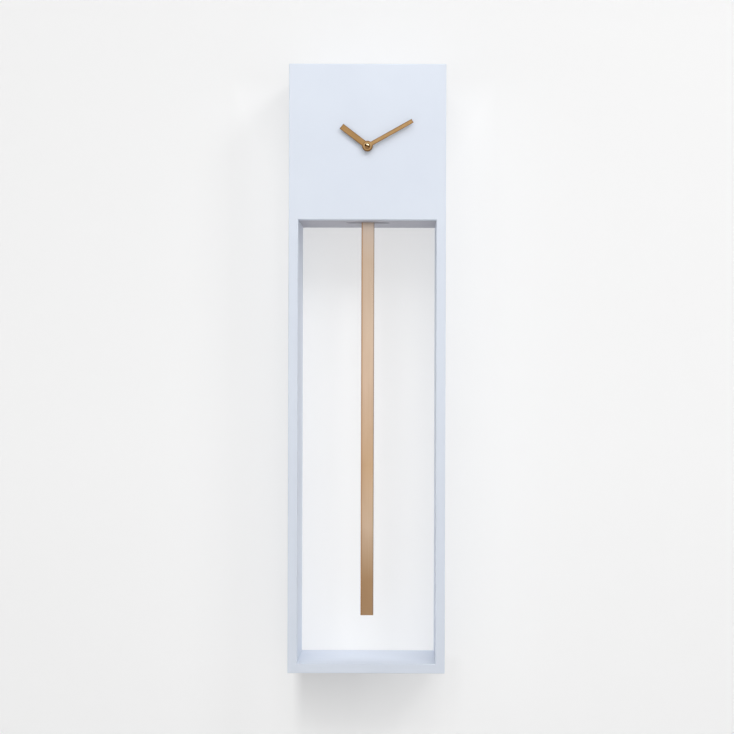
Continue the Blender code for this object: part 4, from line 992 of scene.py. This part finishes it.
def make_battery():
    """The cell, its flat contact and the cone-shaped spring at its other end."""
    low, high = BOXES["battery"]
    cell = centre_of("battery")
    radius = high.z - cell.z
    body_end = high.x - 1.3 * MM
    button, groove = 2.6 * MM, 0.3 * MM
    base, dent, recess = 4.6 * MM, 4.2 * MM, 0.25 * MM
    corners = [(0.0, low.x + recess), (dent, low.x + recess), (base, low.x), (radius, low.x),
               (radius, body_end), (button + 1.2 * MM, body_end), (button + 1.0 * MM, body_end - groove),
               (button, body_end - groove), (button, high.x), (0.0, high.x)]
    adopt(turned("plain_battery", soft_profile(corners, 0.6 * MM, 5), (cell.y, cell.z), "X"), "battery")

    low, high = BOXES["battery_contact"]
    adopt(board("bent_battery_contact", low, high, 0.12 * MM, everywhere), "battery_contact")

    low, high = BOXES["battery_spring"]
    wire, turns, steps = 0.3 * MM, 2, 40
    wide, narrow = 4.6 * MM, 2.4 * MM
    curve = bpy.data.curves.new("battery_coil_spring", "CURVE")
    curve.dimensions = "3D"
    curve.bevel_depth = wire
    curve.bevel_resolution = 4
    curve.use_fill_caps = True
    spline = curve.splines.new("POLY")
    spline.points.add(turns * steps)
    for i, point in enumerate(spline.points):
        share = i / (turns * steps)
        angle = share * turns * tau
        radius = wide + (narrow - wide) * share
        x = low.x + wire + (high.x - low.x - 2 * wire) * share
        point.co = (x, cell.y + radius * cos(angle), cell.z + radius * sin(angle), 1.0)
    adopt(bpy.data.objects.new("battery_coil_spring", curve), "battery_spring")


def make_drive_housing():
    """The box over the drive coil, open in front, with the pivot pin's hole and vent grooves in its back."""
    low, high = BOXES["drive_housing"]
    wall = 1.2 * MM
    shell = board("drive_shell", low, high, 1.0 * MM, everywhere)
    hollow = board("housing_hollow", (low.x + wall, low.y - MM, low.z + wall),
                   (high.x - wall, high.y - wall, high.z - wall), 0.8 * MM, everywhere)
    cutters = [hollow, drill("pivot_hole", 1.4 * MM, high.y - 2 * MM, high.y + MM, AT_PIVOT)]
    for left in (-12 * MM, 7.5 * MM):
        for row in range(4):
            z = low.z + 5 * MM + row * 3 * MM
            groove = rounded_rectangle((left, z), (left + 4.5 * MM, z + 1.2 * MM), 0.55 * MM, 4)
            cutters.append(punch("vent_groove", groove, high.y - 0.5 * MM, high.y + MM))
    adopt(carve(shell, *cutters), "drive_housing")


# Stage, lights and camera

WALL_SIZE = (8.0, 5.0)
WALL_COLOUR = (0.5, 0.5, 0.5, 1.0)
WALL_GLOW = 0.48
FLOOR_Z = BOTTOM - 0.35
FLOOR_COLOUR = srgb(212, 211, 210)
FLOOR_SIZE = 14.0
FLOOR_GLOW = 0.64
ROOM_GLOW = 0.03
BACKDROP_GLOW = 0.80
WHITE = (1.0, 1.0, 1.0, 1.0)
CLOCK_MIDDLE = (0.0, -0.05, -0.35)

# Each softbox has a place, what it is aimed at, a size and watts
SOFTBOXES = {
    "front_softbox": ((0.1, -3.2, 0.85), (0.1, 0.0, 0.85), (5.0, 3.4), 51.0),
    "overhead_softbox": ((-0.35, -2.65, 2.95), CLOCK_MIDDLE, (3.2, 2.6), 76.0),
    "upper_right": ((1.5, -1.7, 1.35), CLOCK_MIDDLE, (0.8, 0.8), 18.0),
}

CAMERA_PLACE = (0.0421, FRONT - 1.892, BOTTOM + 0.366)
CAMERA_ROLL = radians(-0.166)
SENSOR_WIDTH = 36.0
FOCAL_LENGTH = 73.01
LENS_SHIFT = (-0.0449, 0.0253)


def stage_paint(name, colour, glow):
    """Matt paint with faint roller marks and a white glow of its own, still open to changes."""
    paint = Paint(name, Roughness=0.95, Specular_IOR_Level=0.1, Emission_Strength=glow, Emission_Color=WHITE)
    deep = tuple(channel * 0.985 for channel in colour[:3]) + (1.0,)
    mottled = paint.blend(paint.noise(2.2), deep, colour)
    paint.finish(mottled, None, paint.bump(paint.noise(260.0), 0.05, 0.3 * MM))
    return paint


def over_wall(x):
    """A place across the room in the wall's own coordinate, as the wall is a unit plane scaled up."""
    return x / WALL_SIZE[0]


def up_wall(z):
    """A height in the room in the wall's own coordinate, which runs from -0.5 at the floor to 0.5."""
    return (z - FLOOR_Z) / WALL_SIZE[1] - 0.5


def shade_below_case(paint, across, height):
    """A painted shadow: the room's light that the case keeps off the wall just below it, taken out of the wall's
    glow, mostly towards the left.
    """
    fades = (
        paint.spread(height, up_wall(BOTTOM - 0.112), up_wall(BOTTOM - 0.020), 0.0, 0.175),
        paint.spread(height, up_wall(BOTTOM - 0.004), up_wall(BOTTOM + 0.008), 1.0, 0.0),
        paint.spread(across, over_wall(-0.101), over_wall(-0.087)),
        paint.spread(across, over_wall(-0.02), over_wall(0.10), 1.0, 0.2),
        paint.spread(across, over_wall(0.115), over_wall(0.13), 1.0, 0.0),
    )
    shade = fades[0]
    for fade in fades[1:]:
        shade = paint.maths("MULTIPLY", shade, fade)
    return shade


def wall_material():
    """The wall's glow, a painted light, fades upwards, beside and above the clock, and in the painted shadow below
    the case.
    From behind the wall is left out, so that the clock's back can be seen."""
    paint = stage_paint("stage_wall", WALL_COLOUR, WALL_GLOW)
    across, height = paint.axis("X"), paint.axis("Y")
    to_the_left = paint.spread(across, over_wall(-0.13), over_wall(-0.185))
    to_the_right = paint.spread(across, over_wall(0.105), over_wall(0.17))
    above = paint.spread(height, up_wall(-0.11), up_wall(0.03))
    away = paint.maths("MAXIMUM", paint.maths("ADD", to_the_left, to_the_right), above)
    fade = paint.spread(height, up_wall(-0.46), up_wall(0.12), 0.035, 0.088)
    loss = paint.maths("ADD", paint.maths("MULTIPLY", away, fade), shade_below_case(paint, across, height))
    # painted light: the wall's glow, less away from the clock and in the painted shadow below the case
    paint.coat(Emission_Strength=paint.maths("SUBTRACT", WALL_GLOW, loss))
    behind = paint.add("ShaderNodeNewGeometry").outputs["Backfacing"]
    clear = paint.add("ShaderNodeBsdfTransparent").outputs[0]
    mix = paint.add("ShaderNodeMixShader", {0: behind, 1: paint.shader.outputs[0], 2: clear})
    paint.feed(paint.tree.nodes["Material Output"].inputs["Surface"], mix.outputs[0])
    return paint.material


def floor_material():
    """The floor glows far from the clock, where the lights no longer reach, up to the horizon."""
    paint = stage_paint("stage_floor", FLOOR_COLOUR, 0.0)
    below_clock = (0.0, 0.5, 0.0)  # the middle of the floor's edge at the wall, in its own coordinates
    distance = paint.add("ShaderNodeVectorMath", {0: paint.place, 1: below_clock}, operation="DISTANCE")
    lit, dark = 3.0 / FLOOR_SIZE, 4.6 / FLOOR_SIZE
    paint.coat(Emission_Strength=paint.spread(distance.outputs["Value"], lit, dark, 0.0, FLOOR_GLOW))
    return paint.material


def make_stage():
    """The wall behind the clock and the floor in front of it."""
    wall_y = CAD_BOUNDS[1].y + 0.2 * MM
    upright_plane, flat = (pi / 2, 0.0, 0.0), (0.0, 0.0, 0.0)
    for name, size, place, rotation, material in (
        ("wall", WALL_SIZE, (0.0, wall_y, FLOOR_Z + WALL_SIZE[1] / 2), upright_plane, wall_material()),
        ("floor", (FLOOR_SIZE, FLOOR_SIZE), (0.0, wall_y - FLOOR_SIZE / 2, FLOOR_Z), flat, floor_material()),
    ):
        bpy.ops.mesh.primitive_grid_add(x_subdivisions=2, y_subdivisions=2, size=1.0)
        plane = bpy.context.object
        plane.name = f"stage_{name}"
        plane.scale = (*size, 1.0)
        plane.location = place
        plane.rotation_euler = rotation
        plane.data.materials.append(material)


def make_lights():
    """Large soft lights in front and overhead, a smaller one from the upper right, and a faint room."""
    for name, (place, target, size, watts) in SOFTBOXES.items():
        data = bpy.data.lights.new(name, "AREA")
        data.shape = "RECTANGLE"
        data.size, data.size_y = size
        data.energy = watts
        lamp = bpy.data.objects.new(name, data)
        lamp.location = place
        lamp.rotation_euler = (Vector(target) - Vector(place)).to_track_quat("-Z", "Y").to_euler()
        show(lamp)
    world = bpy.data.worlds.new("soft_room")
    world.use_nodes = True
    tree = world.node_tree
    background = tree.nodes["Background"]
    background.inputs["Color"].default_value = WHITE
    seen = tree.nodes.new("ShaderNodeLightPath").outputs["Is Camera Ray"]
    strength = tree.nodes.new("ShaderNodeMapRange")
    strength.inputs["To Min"].default_value = ROOM_GLOW
    strength.inputs["To Max"].default_value = BACKDROP_GLOW
    tree.links.new(seen, strength.inputs["Value"])
    tree.links.new(strength.outputs["Result"], background.inputs["Strength"])
    bpy.context.scene.world = world


def make_camera():
    """Square on to the clock, a little to its right and just below its middle, with a shifted lens."""
    data = bpy.data.cameras.new("camera")
    data.sensor_width = SENSOR_WIDTH
    data.lens = FOCAL_LENGTH
    data.shift_x, data.shift_y = LENS_SHIFT
    camera = bpy.data.objects.new("camera", data)
    camera.location = CAMERA_PLACE
    camera.rotation_euler = (pi / 2, CAMERA_ROLL, 0.0)
    show(camera)
    bpy.context.scene.camera = camera
    bpy.context.scene.view_settings.view_transform = "Standard"


def repaint_cad_nodes():
    """Gives each CAD node that is still shown the finish of its slot."""
    for name, node in frame["nodes"].items():
        for index in range(len(node.material_slots)):
            node.material_slots[index].material = MATERIALS[SLOT_OF[name]]


repaint_cad_nodes()
make_side_boards()
make_top_and_bottom()
make_head_panel()
make_head_floor()
make_rail()
make_keyhole_plates()
make_blocks_and_bumpers()
make_front_fixings()
make_movement_case()
make_back_cover()
make_knob()
make_battery()
make_drive_housing()
make_pivot()
make_swing_arm()
make_hanger()
make_bar()
make_hands()
make_stage()
make_camera()
make_lights()
